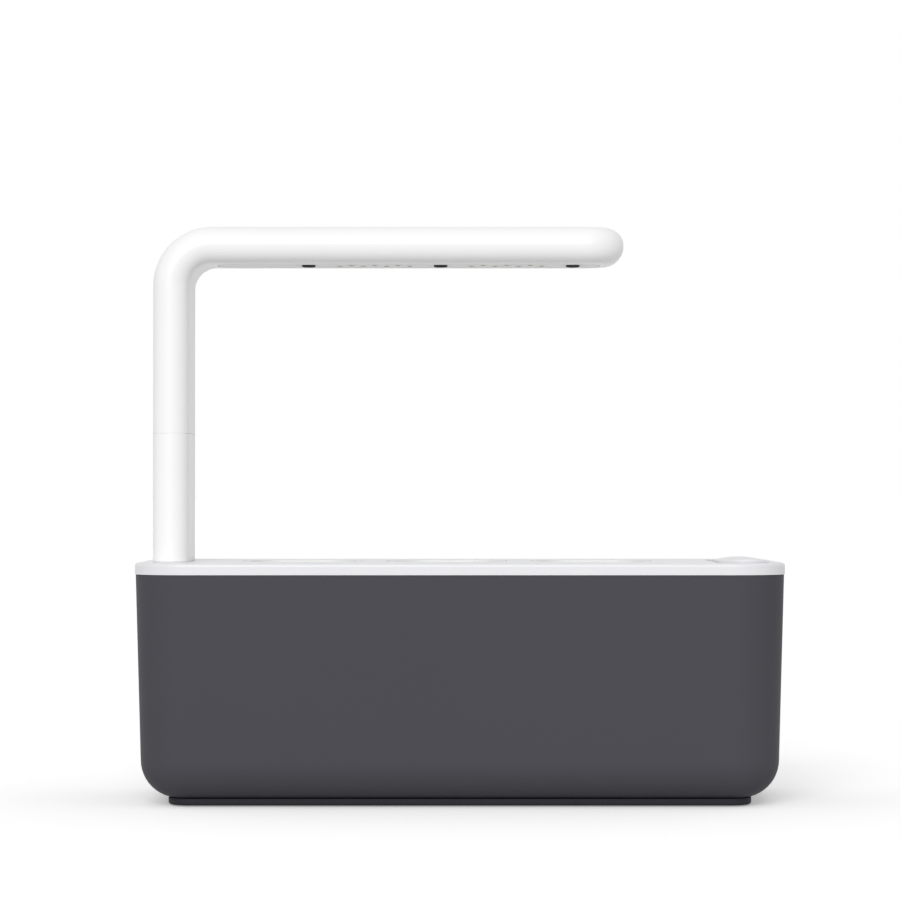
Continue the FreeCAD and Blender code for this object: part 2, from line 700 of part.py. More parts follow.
def make_socket_housing():
    """Dry housing under the lid: a well for the post's spigot and a bay for the inlet."""
    body = new_body("socket_housing")
    plan = sketch_on(body, "Outline", x=POST_X, z=HOUSING_UNDER)
    add_polygon(plan, housing_outline())
    pad(body, "Block", plan, S["housing_drop"])
    bosses = sketch_on(body, "ScrewBosses", x=POST_X, z=HOUSING_UNDER)
    screw_circles(bosses, S["screw_boss"])
    pad(body, "ScrewBossPad", bosses, BOSS_UNDER - HOUSING_UNDER - S["screw_fit"])
    clear_bosses = sketch_on(body, "LidBossRoom", x=POST_X, z=LID_UNDER + OVER)
    screw_circles(clear_bosses, S["screw_boss"] + S["spigot_fit"])
    cut(body, "LidBossRoomCut", clear_bosses, S["boss_drop"] + OVER + S["screw_fit"])
    holes = sketch_on(body, "ScrewHoles", x=POST_X, z=HOUSING_UNDER)
    screw_circles(holes, S["screw_radius"] + S["screw_fit"])
    cut(body, "ScrewHoleCut", holes, S["housing_drop"], up=True)
    well = sketch_on(body, "Well", x=POST_X, z=HOUSING_UNDER)
    add_round_box(well, WELL_WIDTH, WELL_DEPTH, WELL_CORNER)
    cut(body, "WellCut", well, S["housing_drop"] + OVER, up=True)
    bay_x = POST_X + (S["bay_right"] - S["bay_left"]) / 2
    bay_front = WELL_DEPTH / 2 + S["bay_divider"]
    bay_end = S["bay_back"] - S["bay_wall"]
    bay = sketch_on(body, "Bay", x=bay_x, y=(bay_front + bay_end) / 2, z=HOUSING_UNDER)
    bay_width = S["bay_right"] + S["bay_left"] - 2 * S["bay_wall"]
    add_rectangle(bay, bay_width, bay_end - bay_front)
    cut(body, "BayCut", bay, S["housing_drop"] + OVER, up=True)
    duct = sketch_on(body, "Duct", x=POST_X, y=bay_front - S["bay_divider"] / 2, z=HOUSING_UNDER)
    add_rectangle(duct, S["duct_width"], S["bay_divider"] + OVER)
    cut(body, "DuctCut", duct, S["duct_width"], up=True)
    nose = sketch_on(body, "NoseHole", "XZ_Plane", x=INLET_X, y=S["inlet_level"], z=-S["bay_back"] - OVER)
    add_circle(nose, S["inlet_nose"] + S["inlet_fit"])
    cut(body, "NoseHoleCut", nose, S["bay_wall"] + 2 * OVER, up=True)
    return body


def make_socket_seal():
    """Flat gasket between the housing and its cover."""
    body = new_body("socket_seal")
    plan = sketch_on(body, "Ring", x=POST_X, z=COVER_TOP)
    add_polygon(plan, housing_outline(), "outer")
    pad(body, "RingPad", plan, S["seal_height"])
    room = sketch_on(body, "Room", x=POST_X, z=COVER_TOP)
    add_round_box(room, WELL_WIDTH, WELL_DEPTH, WELL_CORNER)
    cut(body, "RoomCut", room, S["seal_height"] + OVER, up=True)
    bay_front = WELL_DEPTH / 2 + S["bay_divider"]
    bay_end = S["bay_back"] - S["bay_wall"]
    bay_x = POST_X + (S["bay_right"] - S["bay_left"]) / 2
    bay = sketch_on(body, "BayRoom", x=bay_x, y=(bay_front + bay_end) / 2, z=COVER_TOP)
    add_rectangle(bay, S["bay_right"] + S["bay_left"] - 2 * S["bay_wall"], bay_end - bay_front)
    cut(body, "BayRoomCut", bay, S["seal_height"] + OVER, up=True)
    return body


def make_socket_cover():
    """Plate that closes the housing from below, with a lug round each screw."""
    body = new_body("socket_cover")
    plan = sketch_on(body, "Outline", x=POST_X, z=COVER_UNDER)
    add_polygon(plan, housing_outline())
    pad(body, "Plate", plan, S["cover_height"])
    lugs = sketch_on(body, "Lugs", x=POST_X, z=COVER_UNDER)
    screw_circles(lugs, S["screw_boss"])
    pad(body, "LugPad", lugs, S["cover_height"])
    holes = sketch_on(body, "Holes", x=POST_X, z=COVER_UNDER)
    screw_circles(holes, S["screw_radius"] + S["screw_fit"])
    cut(body, "HoleCut", holes, S["cover_height"] + OVER, up=True)
    return body


def make_socket_cover_screws():
    """Four long screws from the cover through the housing into the lid's bosses."""
    body = new_body("socket_cover_screws")
    heads = sketch_on(body, "Heads", x=POST_X, z=COVER_UNDER)
    screw_circles(heads, S["screw_head_radius"])
    pad(body, "HeadPad", heads, S["screw_head_height"], down=True)
    fillet(body, "HeadEdge", S["screw_head_height"] / 3,
           lambda e: flat_at(e, COVER_UNDER - S["screw_head_height"]))
    drives = sketch_on(body, "Drives", x=POST_X, z=COVER_UNDER - S["screw_head_height"])
    screw_circles(drives, S["screw_radius"] * 0.8)
    cut(body, "DriveCut", drives, S["screw_head_height"] / 2, up=True)
    shanks = sketch_on(body, "Shanks", x=POST_X, z=COVER_UNDER)
    screw_circles(shanks, S["screw_radius"])
    pad(body, "ShankPad", shanks, BOSS_UNDER + S["screw_bite"] - COVER_UNDER)
    return body


def make_contact_block():
    """Insulator on the cover that holds the two spring contacts at the foot of the well."""
    body = new_body("contact_block")
    plan = sketch_on(body, "Outline", x=POST_X, z=COVER_TOP)
    width = WELL_WIDTH - 2 * S["carrier_fit"]
    depth = WELL_DEPTH - 2 * S["carrier_fit"]
    add_round_box(plan, width, depth, WELL_CORNER - S["carrier_fit"])
    pad(body, "Block", plan, block_height())
    holes = sketch_on(body, "ContactHoles", x=POST_X, z=COVER_TOP)
    contact_circles(holes, S["spring_radius"] + S["screw_fit"])
    cut(body, "ContactHoleCut", holes, block_height() + OVER, up=True)
    return body


def block_height():
    """Height of the contact block, which ends short of the spigot's foot."""
    return LID_TOP - S["spigot_length"] - S["spring_stand"] - COVER_TOP


def contact_circles(sketch, radius):
    """Draw a circle at each of the two contacts."""
    for k, side in enumerate((-1, 1)):
        add_circle(sketch, radius, 0, side * S["contact_pitch"] / 2, tag=f"contact{k}")


def make_contact_springs():
    """Two spring contacts that stand out of the block and meet the spigot's pins."""
    body = new_body("contact_springs")
    plan = sketch_on(body, "Plungers", x=POST_X, z=COVER_TOP)
    contact_circles(plan, S["spring_radius"])
    pad(body, "PlungerPad", plan, block_height() + S["spring_stand"])
    return body


def make_dc_inlet():
    """Barrel inlet: a square body in the bay and a round nose through the lid's tab."""
    body = new_body("dc_inlet")
    face = S["bay_back"] - S["bay_wall"]
    rear = sketch_on(body, "Case", "XZ_Plane", x=INLET_X, y=S["inlet_level"], z=-face)
    add_round_box(rear, S["inlet_width"], S["inlet_height"], S["inlet_width"] / 9)
    pad(body, "CasePad", rear, S["inlet_length"])
    nose = sketch_on(body, "Nose", "XZ_Plane", x=INLET_X, y=S["inlet_level"], z=-face)
    add_circle(nose, S["inlet_nose"])
    pad(body, "NosePad", nose, nose_end() - face, down=True)
    bore = sketch_on(body, "Bore", "XZ_Plane", x=INLET_X, y=S["inlet_level"], z=-nose_end())
    add_circle(bore, S["inlet_bore"])
    cut(body, "BoreCut", bore, S["inlet_bore_depth"], up=True)
    pin = sketch_on(body, "PinHole", "XZ_Plane", x=INLET_X, y=S["inlet_level"], z=-nose_end())
    add_circle(pin, S["inlet_pin"])
    cut(body, "PinHoleCut", pin, nose_end() - face + S["inlet_length"] + OVER, up=True)
    return body


def nose_end():
    """Y of the inlet's outer face."""
    return TANK_DEPTH / 2 - S["inlet_recess"] - S["inlet_fit"]


def make_dc_inlet_pin():
    """Centre contact of the inlet."""
    body = new_body("dc_inlet_pin")
    start = S["bay_back"] - S["bay_wall"] - S["inlet_length"]
    plan = sketch_on(body, "Pin", "XZ_Plane", x=INLET_X, y=S["inlet_level"], z=-start)
    add_circle(plan, S["inlet_pin"] - S["screw_fit"] / 2)
    length = nose_end() - start - 1
    pad(body, "PinPad", plan, length, down=True)
    fillet(body, "PinTip", S["inlet_pin"] / 2, lambda e: abs(e.BoundBox.YMin - (start + length).value) < 0.01)
    return body


def run_path(points, share=0.45):
    """Make a wire of straight runs joined by tangent arcs through the given points."""
    edges = []
    start = points[0]
    for before, corner, after in zip(points, points[1:], points[2:]):
        inward, outward = (before - corner).normalize(), (after - corner).normalize()
        half_turn = (math.pi - inward.getAngle(outward)) / 2
        trim = share * min((before - corner).Length, (after - corner).Length)
        radius = trim / math.tan(half_turn)
        enter, leave = corner + inward * trim, corner + outward * trim
        bisector = (inward + outward).normalize()
        middle = corner + bisector * (radius / math.cos(half_turn) - radius)
        edges.append(Part.LineSegment(start, enter).toShape())
        edges.append(Part.Arc(enter, middle, leave).toShape())
        print(f"lead bend radius {radius:.1f} mm")
        start = leave
    edges.append(Part.LineSegment(start, points[-1]).toShape())
    return Part.Wire(edges)


def lead(points, radius):
    """Sweep a round lead along its route."""
    path = run_path(points)
    first = path.Edges[0]
    circle = Part.Circle(points[0], first.tangentAt(first.FirstParameter), radius)
    return path.makePipeShell([Part.Wire(circle.toShape())], True, True)


def store_shape(label, solids):
    """Keep shapes that were made with Part's own functions as one labelled object."""
    feature = DOC.addObject("Part::Feature", label)
    feature.Label = label
    feature.Shape = Part.makeCompound(solids)
    feature.Placement = FreeCAD.Placement()
    return feature


def make_inlet_wires():
    """Two leads from the inlet's tail through the duct to the contact block."""
    tail = (S["bay_back"] - S["bay_wall"] - S["inlet_length"]).value
    block_end = (WELL_DEPTH / 2).value
    turn_y = block_end + (S["bay_divider"] + S["wire_clear"]).value
    high = S["inlet_level"].value
    low = (HOUSING_UNDER + S["duct_width"] / 2).value
    leads = []
    for side in (-1, 1):
        x = INLET_X.value + side * S["inlet_width"].value / 4
        end_x = POST_X.value + side * S["wire_gap"].value / 2
        y = turn_y + (S["wire_gap"].value if side < 0 else 0)
        points = [
            Vector(x, tail, high),
            Vector(x, y, high),
            Vector(end_x, y, low),
            Vector(end_x, block_end, low),
        ]
        leads.append(lead(points, S["lead_radius"].value))
    return store_shape("inlet_wires", leads)


# Float


def make_float_cap():
    """White cap with a crowned top that shows the water level in the fill opening."""
    body = new_body("float_cap")
    crown, long_crown = S["float_crown"], S["float_long_crown"]
    half = FLOAT_WIDTH / 2
    sag = half * half / (2 * crown)
    crest = S["float_edge_level"] + sag
    profile = sketch_on(body, "Crown", "XZ_Plane", x=FILL_X, y=crest - long_crown, z=-FLOAT_Y)
    add_crown_profile(profile, half, crown, long_crown, S["float_skirt"] + sag)
    turn = body.newObject("PartDesign::Revolution", "CrownTurn")
    turn.Profile = profile
    turn.ReferenceAxis = (profile, ["H_Axis"])
    turn.Midplane = True
    turn.setExpression("Angle", f"2 * asin({(S['float_length'] / (2 * long_crown)).text}) + 1 deg")
    settle(turn)
    level = sketch_on(body, "Level", x=FILL_X, y=FLOAT_Y, z=FLOAT_UNDER)
    add_rectangle(level, FILL_LENGTH, FILL_LENGTH)
    cut(body, "LevelCut", level, 4 * S["float_skirt"])
    frame = sketch_on(body, "Trim", x=FILL_X, y=FLOAT_Y, z=FLOAT_UNDER)
    add_rectangle(frame, FILL_LENGTH, FILL_LENGTH, "outer")
    corner = S["fill_corner"] - S["float_gap"]
    add_round_box(frame, FLOAT_WIDTH, S["float_length"], corner, "inner")
    cut(body, "TrimCut", frame, 4 * S["float_skirt"], up=True)
    half_up = (FLOAT_UNDER + S["float_skirt"] / 2).value
    fillet(body, "TopEdge", S["float_round"], lambda e: e.BoundBox.ZMin > half_up)
    inside = sketch_on(body, "Inside", x=FILL_X, y=FLOAT_Y, z=FLOAT_UNDER)
    wall = S["float_wall"]
    add_round_box(inside, FLOAT_WIDTH - 2 * wall, S["float_length"] - 2 * wall, corner - wall)
    cut(body, "InsideCut", inside, S["float_skirt"] - wall, up=True)
    return body


def add_crown_profile(sketch, half, crown, axis_drop, height):
    """Draw the cap's cross section, an arched top over straight sides, above the turning axis."""
    crest = axis_drop.value
    rise = crown.value - math.sqrt(crown.value ** 2 - half.value ** 2)
    low = crest - height.value - OVER
    left, right = -half.value, half.value
    sketch.addGeometry(Part.LineSegment(Vector(left, low, 0), Vector(right, low, 0)), False)
    sketch.addGeometry(Part.LineSegment(Vector(right, low, 0), Vector(right, crest - rise, 0)), False)
    circle = Part.Circle(Vector(0, crest - crown.value, 0), Vector(0, 0, 1), crown.value)
    spread = math.asin(half.value / crown.value)
    sketch.addGeometry(Part.ArcOfCircle(circle, math.pi / 2 - spread, math.pi / 2 + spread), False)
    sketch.addGeometry(Part.LineSegment(Vector(left, crest - rise, 0), Vector(left, low, 0)), False)
    for one, end, two, start in ((0, 2, 1, 1), (1, 2, 2, 1), (2, 2, 3, 1), (3, 2, 0, 1)):
        sketch.addConstraint(Sketcher.Constraint("Coincident", one, end, two, start))
    sketch.addConstraint(Sketcher.Constraint("Horizontal", 0))
    sketch.addConstraint(Sketcher.Constraint("Vertical", 1))
    sketch.addConstraint(Sketcher.Constraint("Vertical", 3))
    sketch.addConstraint(Sketcher.Constraint("PointOnObject", 2, 3, -2))
    constrain(sketch, "crown", Sketcher.Constraint("Radius", 2, crown.value), crown)
    across = Sketcher.Constraint("DistanceX", 0, 1, 0, 2, 2 * half.value)
    constrain(sketch, "width", across, 2 * half)
    centre = Sketcher.Constraint("DistanceY", -1, 1, 2, 3, crest - crown.value)
    constrain(sketch, "centre_height", centre, axis_drop - crown)
    foot = Sketcher.Constraint("DistanceY", -1, 1, 0, 1, low)
    constrain(sketch, "foot_height", foot, axis_drop - height - OVER)


def make_float_stem():
    """Square stem between the cap and the float block."""
    body = new_body("float_stem")
    low = S["block_level"] + S["block_height"]
    plan = sketch_on(body, "Section", x=FILL_X, y=FLOAT_Y, z=low)
    add_round_box(plan, S["stem_width"], S["stem_width"], S["stem_width"] / 7)
    pad(body, "StemPad", plan, S["float_edge_level"] - S["float_wall"] - low)
    return body


def make_float_block():
    """Closed float that the water carries."""
    body = new_body("float_block")
    plan = sketch_on(body, "Plan", x=FILL_X, y=FLOAT_Y, z=S["block_level"])
    add_round_box(plan, S["block_width"], S["block_length"], S["block_width"] / 3)
    pad(body, "Block", plan, S["block_height"])
    fillet(body, "Edges", S["block_width"] / 7,
           lambda e: flat_at(e, S["block_level"]) or flat_at(e, S["block_level"] + S["block_height"]))
    return body


def make_float_guide():
    """Chute under the fill opening; its floor guides the stem and stops the cap."""
    body = new_body("float_guide")
    floor_under = GUIDE_FLOOR - S["guide_floor"]
    wall = S["guide_wall"]
    plan = sketch_on(body, "Chute", x=FILL_X, y=FILL_Y, z=floor_under)
    width, length, corner = S["fill_width"], FILL_LENGTH, S["fill_corner"]
    add_round_box(plan, width + 2 * wall, length + 2 * wall, corner + wall)
    pad(body, "ChutePad", plan, LID_UNDER - floor_under)
    inside = sketch_on(body, "Inside", x=FILL_X, y=FILL_Y, z=LID_UNDER)
    add_round_box(inside, width, length, corner)
    cut(body, "InsideCut", inside, LID_UNDER - GUIDE_FLOOR)
    pour_length = length - S["float_length"] - 3 * S["float_gap"]
    pour_y = FILL_Y + length / 2 - pour_length / 2
    pour = sketch_on(body, "PourHole", x=FILL_X, y=pour_y, z=floor_under)
    add_round_box(pour, width, pour_length, corner)
    cut(body, "PourHoleCut", pour, S["guide_floor"] + OVER, up=True)
    stem = sketch_on(body, "StemHole", x=FILL_X, y=FLOAT_Y, z=floor_under)
    side = S["stem_width"] + 2 * S["stem_fit"]
    add_round_box(stem, side, side, S["stem_width"] / 7 + S["stem_fit"])
    cut(body, "StemHoleCut", stem, S["guide_floor"] + OVER, up=True)
    drains = sketch_on(body, "Drains", x=FILL_X, y=FLOAT_Y, z=floor_under)
    for k, (sx, sy) in enumerate(((-1, -1), (1, -1), (1, 1), (-1, 1))):
        add_circle(drains, S["guide_drain"], sx * width / 4, sy * S["float_length"] / 4, f"drain{k}")
    cut(body, "DrainCut", drains, S["guide_floor"] + OVER, up=True)
    return body


# Plant cups


def place_pod(body, index):
    """Move a piece from the middle of its cup to the cup's place in the lid."""
    bind(body, ".Placement.Base.x", S["cup_middle_x"] + (index - 1) * S["cup_pitch"])


def cup_section(drop):
    """Outer width and corner of the cup at a depth under the lid's top."""
    lean = S["cup_lean"] * drop / S["cup_depth"]
    return S["cup_width"] - 2 * lean, S["cup_corner"] - lean


def make_plant_cup(index, name):
    """Tapered cup with a flange, a wick slot and drain holes."""
    body = new_body(f"plant_cup_{name}")
    top = sketch_on(body, "Mouth", z=LID_TOP)
    add_round_box(top, S["cup_width"], S["cup_width"], S["cup_corner"])
    low_width, low_corner = cup_section(S["cup_depth"])
    low = sketch_on(body, "Foot", z=LID_TOP - S["cup_depth"])
    add_round_box(low, low_width, low_width, low_corner)
    loft(body, "Block", top, low)
    flange = sketch_on(body, "Flange", z=LID_TOP)
    reach = S["flange_reach"]
    add_round_box(flange, S["cup_width"] + 2 * reach, S["cup_width"] + 2 * reach, S["cup_corner"] + reach)
    pad(body, "FlangePad", flange, S["flange_height"], down=True)
    fillet(body, "FlangeEdge", S["flange_height"] / 3, lambda e: flat_at(e, LID_TOP))
    wall = S["cup_wall"]
    mouth = sketch_on(body, "InnerMouth", z=LID_TOP)
    add_round_box(mouth, S["cup_width"] - 2 * wall, S["cup_width"] - 2 * wall, S["cup_corner"] - wall)
    in_width, in_corner = cup_section(S["cup_depth"] - wall)
    foot = sketch_on(body, "InnerFoot", z=LID_TOP - S["cup_depth"] + wall)
    add_round_box(foot, in_width - 2 * wall, in_width - 2 * wall, in_corner - wall)
    loft(body, "Hollow", mouth, foot, hollow=True)
    floor = sketch_on(body, "FloorHoles", z=LID_TOP - S["cup_depth"])
    for k, (sx, sy) in enumerate(((-1, -1), (1, -1), (1, 1), (-1, 1))):
        ring = S["drain_ring"]
        add_circle(floor, S["drain_radius"], sx * ring, sy * ring, f"drain{k}")
    cut(body, "FloorHoleCut", floor, 2 * wall, up=True)
    slot = sketch_on(body, "WickSlot", z=LID_TOP - S["cup_depth"])
    fit = S["wick_fit"]
    add_rectangle(slot, S["wick_width"] + 2 * fit, S["wick_thickness"] + 2 * fit)
    cut(body, "WickSlotCut", slot, 2 * wall, up=True)
    place_pod(body, index)
    return body


def make_grow_plug(index, name):
    """Block of growing medium that fills the cup, slit at its foot for the wick."""
    body = new_body(f"grow_plug_{name}")
    shrink = S["cup_wall"] + S["plug_fit"]
    top_width, top_corner = cup_section(S["plug_sink"])
    top = sketch_on(body, "Top", z=LID_TOP - S["plug_sink"])
    add_round_box(top, top_width - 2 * shrink, top_width - 2 * shrink, top_corner - shrink)
    depth = S["cup_depth"] - S["cup_wall"]
    low_width, low_corner = cup_section(depth)
    low = sketch_on(body, "Low", z=LID_TOP - depth)
    add_round_box(low, low_width - 2 * shrink, low_width - 2 * shrink, low_corner - shrink)
    loft(body, "Block", top, low)
    slit = sketch_on(body, "WickSlit", z=LID_TOP - depth)
    fit = S["wick_fit"]
    add_rectangle(slit, S["wick_width"] + 2 * fit, S["wick_thickness"] + 2 * fit)
    cut(body, "WickSlitCut", slit, S["wick_bite"], up=True)
    place_pod(body, index)
    return body


def make_cup_label(index, name):
    """Paper cover on the plug with a hole for the seedlings."""
    body = new_body(f"cup_label_{name}")
    shrink = S["cup_wall"] + S["plug_fit"]
    width, corner = cup_section(S["plug_sink"])
    plan = sketch_on(body, "Sheet", z=LID_TOP - S["plug_sink"])
    add_round_box(plan, width - 2 * shrink, width - 2 * shrink, corner - shrink)
    pad(body, "SheetPad", plan, S["label_height"])
    hole = sketch_on(body, "SeedHole", z=LID_TOP - S["plug_sink"])
    add_circle(hole, S["label_hole"])
    cut(body, "SeedHoleCut", hole, S["label_height"] + OVER, up=True)
    place_pod(body, index)
    return body


def make_wick(index, name):
    """Felt strip from the plug through the cup's floor down to the water."""
    body = new_body(f"wick_{name}")
    low = S["tank_floor_level"] + S["tank_wall"] + S["wick_rise"]
    top = LID_TOP - S["cup_depth"] + S["cup_wall"] + S["wick_bite"]
    plan = sketch_on(body, "Strip", z=low)
    add_rectangle(plan, S["wick_width"], S["wick_thickness"])
    pad(body, "StripPad", plan, top - low)
    place_pod(body, index)
    return body


# Post extension and lamp arm


def make_extension_shell():
    """Lower length of the post: a spigot below, an outer sleeve and the arm's socket above."""
    body = new_body("extension_shell")
    foot = LID_TOP - S["spigot_length"]
    sleeve = sketch_on(body, "Sleeve", x=POST_X, z=LID_TOP)
    add_round_box(sleeve, S["arm_thickness"], S["arm_depth"], S["arm_edge"])
    pad(body, "SleevePad", sleeve, S["seam_level"] - LID_TOP)
    fillet(body, "SeamEdge", S["seam_groove"], lambda e: flat_at(e, S["seam_level"]) or flat_at(e, LID_TOP))
    spigot = sketch_on(body, "Spigot", x=POST_X, z=foot)
    add_round_box(spigot, S["spigot_width"], S["spigot_depth"], S["spigot_corner"])
    pad(body, "SpigotPad", spigot, S["spigot_length"] + BITE)
    wall = S["spigot_wall"]
    core = sketch_on(body, "Core", x=POST_X, z=foot)
    add_round_box(core, S["spigot_width"] - 2 * wall, S["spigot_depth"] - 2 * wall, S["spigot_corner"] - wall)
    cut(body, "CoreCut", core, S["seam_level"] - foot + OVER, up=True)
    socket = sketch_on(body, "Socket", x=POST_X, z=S["seam_level"])
    add_round_box(socket, WELL_WIDTH, WELL_DEPTH, WELL_CORNER)
    cut(body, "SocketCut", socket, S["spigot_length"] + S["spring_stand"] + S["block_rise"])
    return body


def make_carrier(label, seam):
    """Insulating plug in the foot of a spigot that holds its two pins."""
    body = new_body(label)
    foot = seam - S["spigot_length"]
    shrink = S["spigot_wall"] + S["carrier_fit"]
    plan = sketch_on(body, "Outline", x=POST_X, z=foot)
    width, depth = S["spigot_width"] - 2 * shrink, S["spigot_depth"] - 2 * shrink
    add_round_box(plan, width, depth, S["spigot_corner"] - shrink)
    pad(body, "Block", plan, S["carrier_height"])
    holes = sketch_on(body, "PinHoles", x=POST_X, z=foot)
    contact_circles(holes, S["contact_radius"] + S["screw_fit"] / 2)
    cut(body, "PinHoleCut", holes, S["carrier_height"] + OVER, up=True)
    return body


def make_pins(label, seam):
    """Two contact pins flush with the spigot's foot."""
    body = new_body(label)
    plan = sketch_on(body, "Pins", x=POST_X, z=seam - S["spigot_length"])
    contact_circles(plan, S["contact_radius"])
    pad(body, "PinPad", plan, S["carrier_height"] + S["contact_tail"])
    return body


def extension_block_foot():
    """Z of the ledge that carries the extension's upper contact block."""
    return S["seam_level"] - S["spigot_length"] - S["spring_stand"] - S["block_rise"]


def make_extension_socket():
    """Contact block at the foot of the extension's upper socket."""
    body = new_body("extension_socket")
    plan = sketch_on(body, "Outline", x=POST_X, z=extension_block_foot())
    fit = S["carrier_fit"]
    add_round_box(plan, WELL_WIDTH - 2 * fit, WELL_DEPTH - 2 * fit, WELL_CORNER - fit)
    pad(body, "Block", plan, S["block_rise"])
    holes = sketch_on(body, "ContactHoles", x=POST_X, z=extension_block_foot())
    contact_circles(holes, S["spring_radius"] + S["screw_fit"])
    cut(body, "ContactHoleCut", holes, S["block_rise"] + OVER, up=True)
    return body


def make_extension_springs():
    """Spring contacts of the extension's upper socket."""
    body = new_body("extension_springs")
    plan = sketch_on(body, "Plungers", x=POST_X, z=extension_block_foot() - S["contact_tail"])
    contact_circles(plan, S["spring_radius"])
    pad(body, "PlungerPad", plan, S["contact_tail"] + S["block_rise"] + S["spring_stand"])
    return body


def make_extension_wires():
    """Two straight leads between the extension's pins and its upper contacts."""
    body = new_body("extension_wires")
    low = LID_TOP - S["spigot_length"] + S["carrier_height"] + S["contact_tail"]
    plan = sketch_on(body, "Leads", x=POST_X, z=low)
    contact_circles(plan, S["lead_radius"])
    pad(body, "LeadPad", plan, extension_block_foot() - S["contact_tail"] - low)
    return body


def make_bent_bar(label, inset, start, end):
    """Bar along the post, the bend and the arm, drawn in by inset on every side."""
    body = new_body(label)
    profile = sketch_on(body, "Section", x=POST_X, z=start)
    add_rectangle(profile, S["arm_thickness"] - 2 * inset, S["arm_depth"] - 2 * inset)
    middle = S["arm_top"] - S["arm_thickness"] / 2
    rise = middle - S["arm_bend"] - start
    reach = end - POST_X
    spine = sketch_on(body, "Line", "XZ_Plane", x=POST_X, y=start)
    bend = S["arm_bend"].value
    corner = Vector(bend, rise.value, 0)
    spine.addGeometry(Part.LineSegment(Vector(0, 0, 0), Vector(0, rise.value, 0)), False)
    circle = Part.Circle(corner, Vector(0, 0, 1), bend)
    spine.addGeometry(Part.ArcOfCircle(circle, math.pi / 2, math.pi), False)
    level = rise.value + bend
    spine.addGeometry(Part.LineSegment(Vector(bend, level, 0), Vector(reach.value, level, 0)), False)
    spine.addConstraint(Sketcher.Constraint("Coincident", 0, 1, -1, 1))
    spine.addConstraint(Sketcher.Constraint("Vertical", 0))
    spine.addConstraint(Sketcher.Constraint("Tangent", 0, 2, 1, 2))
    spine.addConstraint(Sketcher.Constraint("Tangent", 1, 1, 2, 1))
    spine.addConstraint(Sketcher.Constraint("Horizontal", 2))
    constrain(spine, "rise", Sketcher.Constraint("DistanceY", 0, 1, 0, 2, rise.value), rise)
    constrain(spine, "bend", Sketcher.Constraint("Radius", 1, bend), S["arm_bend"])
    constrain(spine, "reach", Sketcher.Constraint("DistanceX", 0, 1, 2, 2, reach.value), reach)
    DOC.recompute()
    sweep = body.newObject("PartDesign::AdditivePipe", "Sweep")
    sweep.Profile = profile
    sweep.Spine = (spine, [])
    settle(sweep)
    tip = end.value
    fillet(body, "PlanCorners", S["arm_plan_corner"] - inset,
           lambda e: e.BoundBox.XMin > tip - 0.1 and e.BoundBox.ZLength > S["arm_wall"].value)
    fillet(body, "LongEdges", S["arm_edge"] - inset,
           lambda e: e.BoundBox.XLength > S["panel_length"].value / 2 and e.CenterOfMass.y > 0)
    return body


def make_arm_shell():
    """Hollow upper post and arm in one moulding, with spigot, board rails and lamp window."""
    wall = S["arm_wall"]
    outside = make_bent_bar("ArmOutside", as_size(0), S["seam_level"], ARM_END)
    inside = make_bent_bar("ArmInside", wall, S["seam_level"] + wall, ARM_END - wall)
    hull = combine("Part::Cut", "ArmHull", outside, inside)
    ribs = make_arm_ribs()
    joined = combine("Part::MultiFuse", "ArmJoined", hull, [ribs])
    shell = combine("Part::Cut", "arm_shell", joined, make_arm_cuts())
    return shell


def make_arm_ribs():
    """Spigot, driver board rails, window ledge and screw posts inside the arm."""
    body = new_body("ArmRibs")
    foot = S["seam_level"] - S["spigot_length"]
    spigot = sketch_on(body, "Spigot", x=POST_X, z=foot)
    add_round_box(spigot, S["spigot_width"], S["spigot_depth"], S["spigot_corner"])
    pad(body, "SpigotPad", spigot, S["spigot_length"] + S["arm_wall"])
    for side, name in ((-1, "Front"), (1, "Back")):
        inner = S["arm_depth"] / 2 - S["arm_wall"]
        y = side * (inner + BITE - S["rail_reach"] / 2)
        rail = sketch_on(body, f"Rail{name}", x=POST_X, y=y, z=S["driver_level"] - S["arm_wall"])
        add_rectangle(rail, S["rail_thickness"], S["rail_reach"])
        pad(body, f"Rail{name}Pad", rail, S["driver_height"])
    ledge = sketch_on(body, "Ledge", x=PANEL_MIDDLE, z=CAVITY_FLOOR - BITE)
    grow = S["panel_fit"] + S["ledge"]
    add_round_box(ledge, S["panel_length"] + 2 * grow, S["panel_width"] + 2 * grow, S["panel_corner"] + grow)
    pad(body, "LedgePad", ledge, S["ledge_height"] + BITE)
    posts = sketch_on(body, "ScrewPosts", z=CUP_BACK)
    for k, x in enumerate(SCREW_XS):
        add_circle(posts, S["screw_post_radius"], x, 0, f"post{k}")
    pad(body, "ScrewPostPad", posts, S["arm_top"] - S["arm_wall"] - CUP_BACK + BITE)
    return body


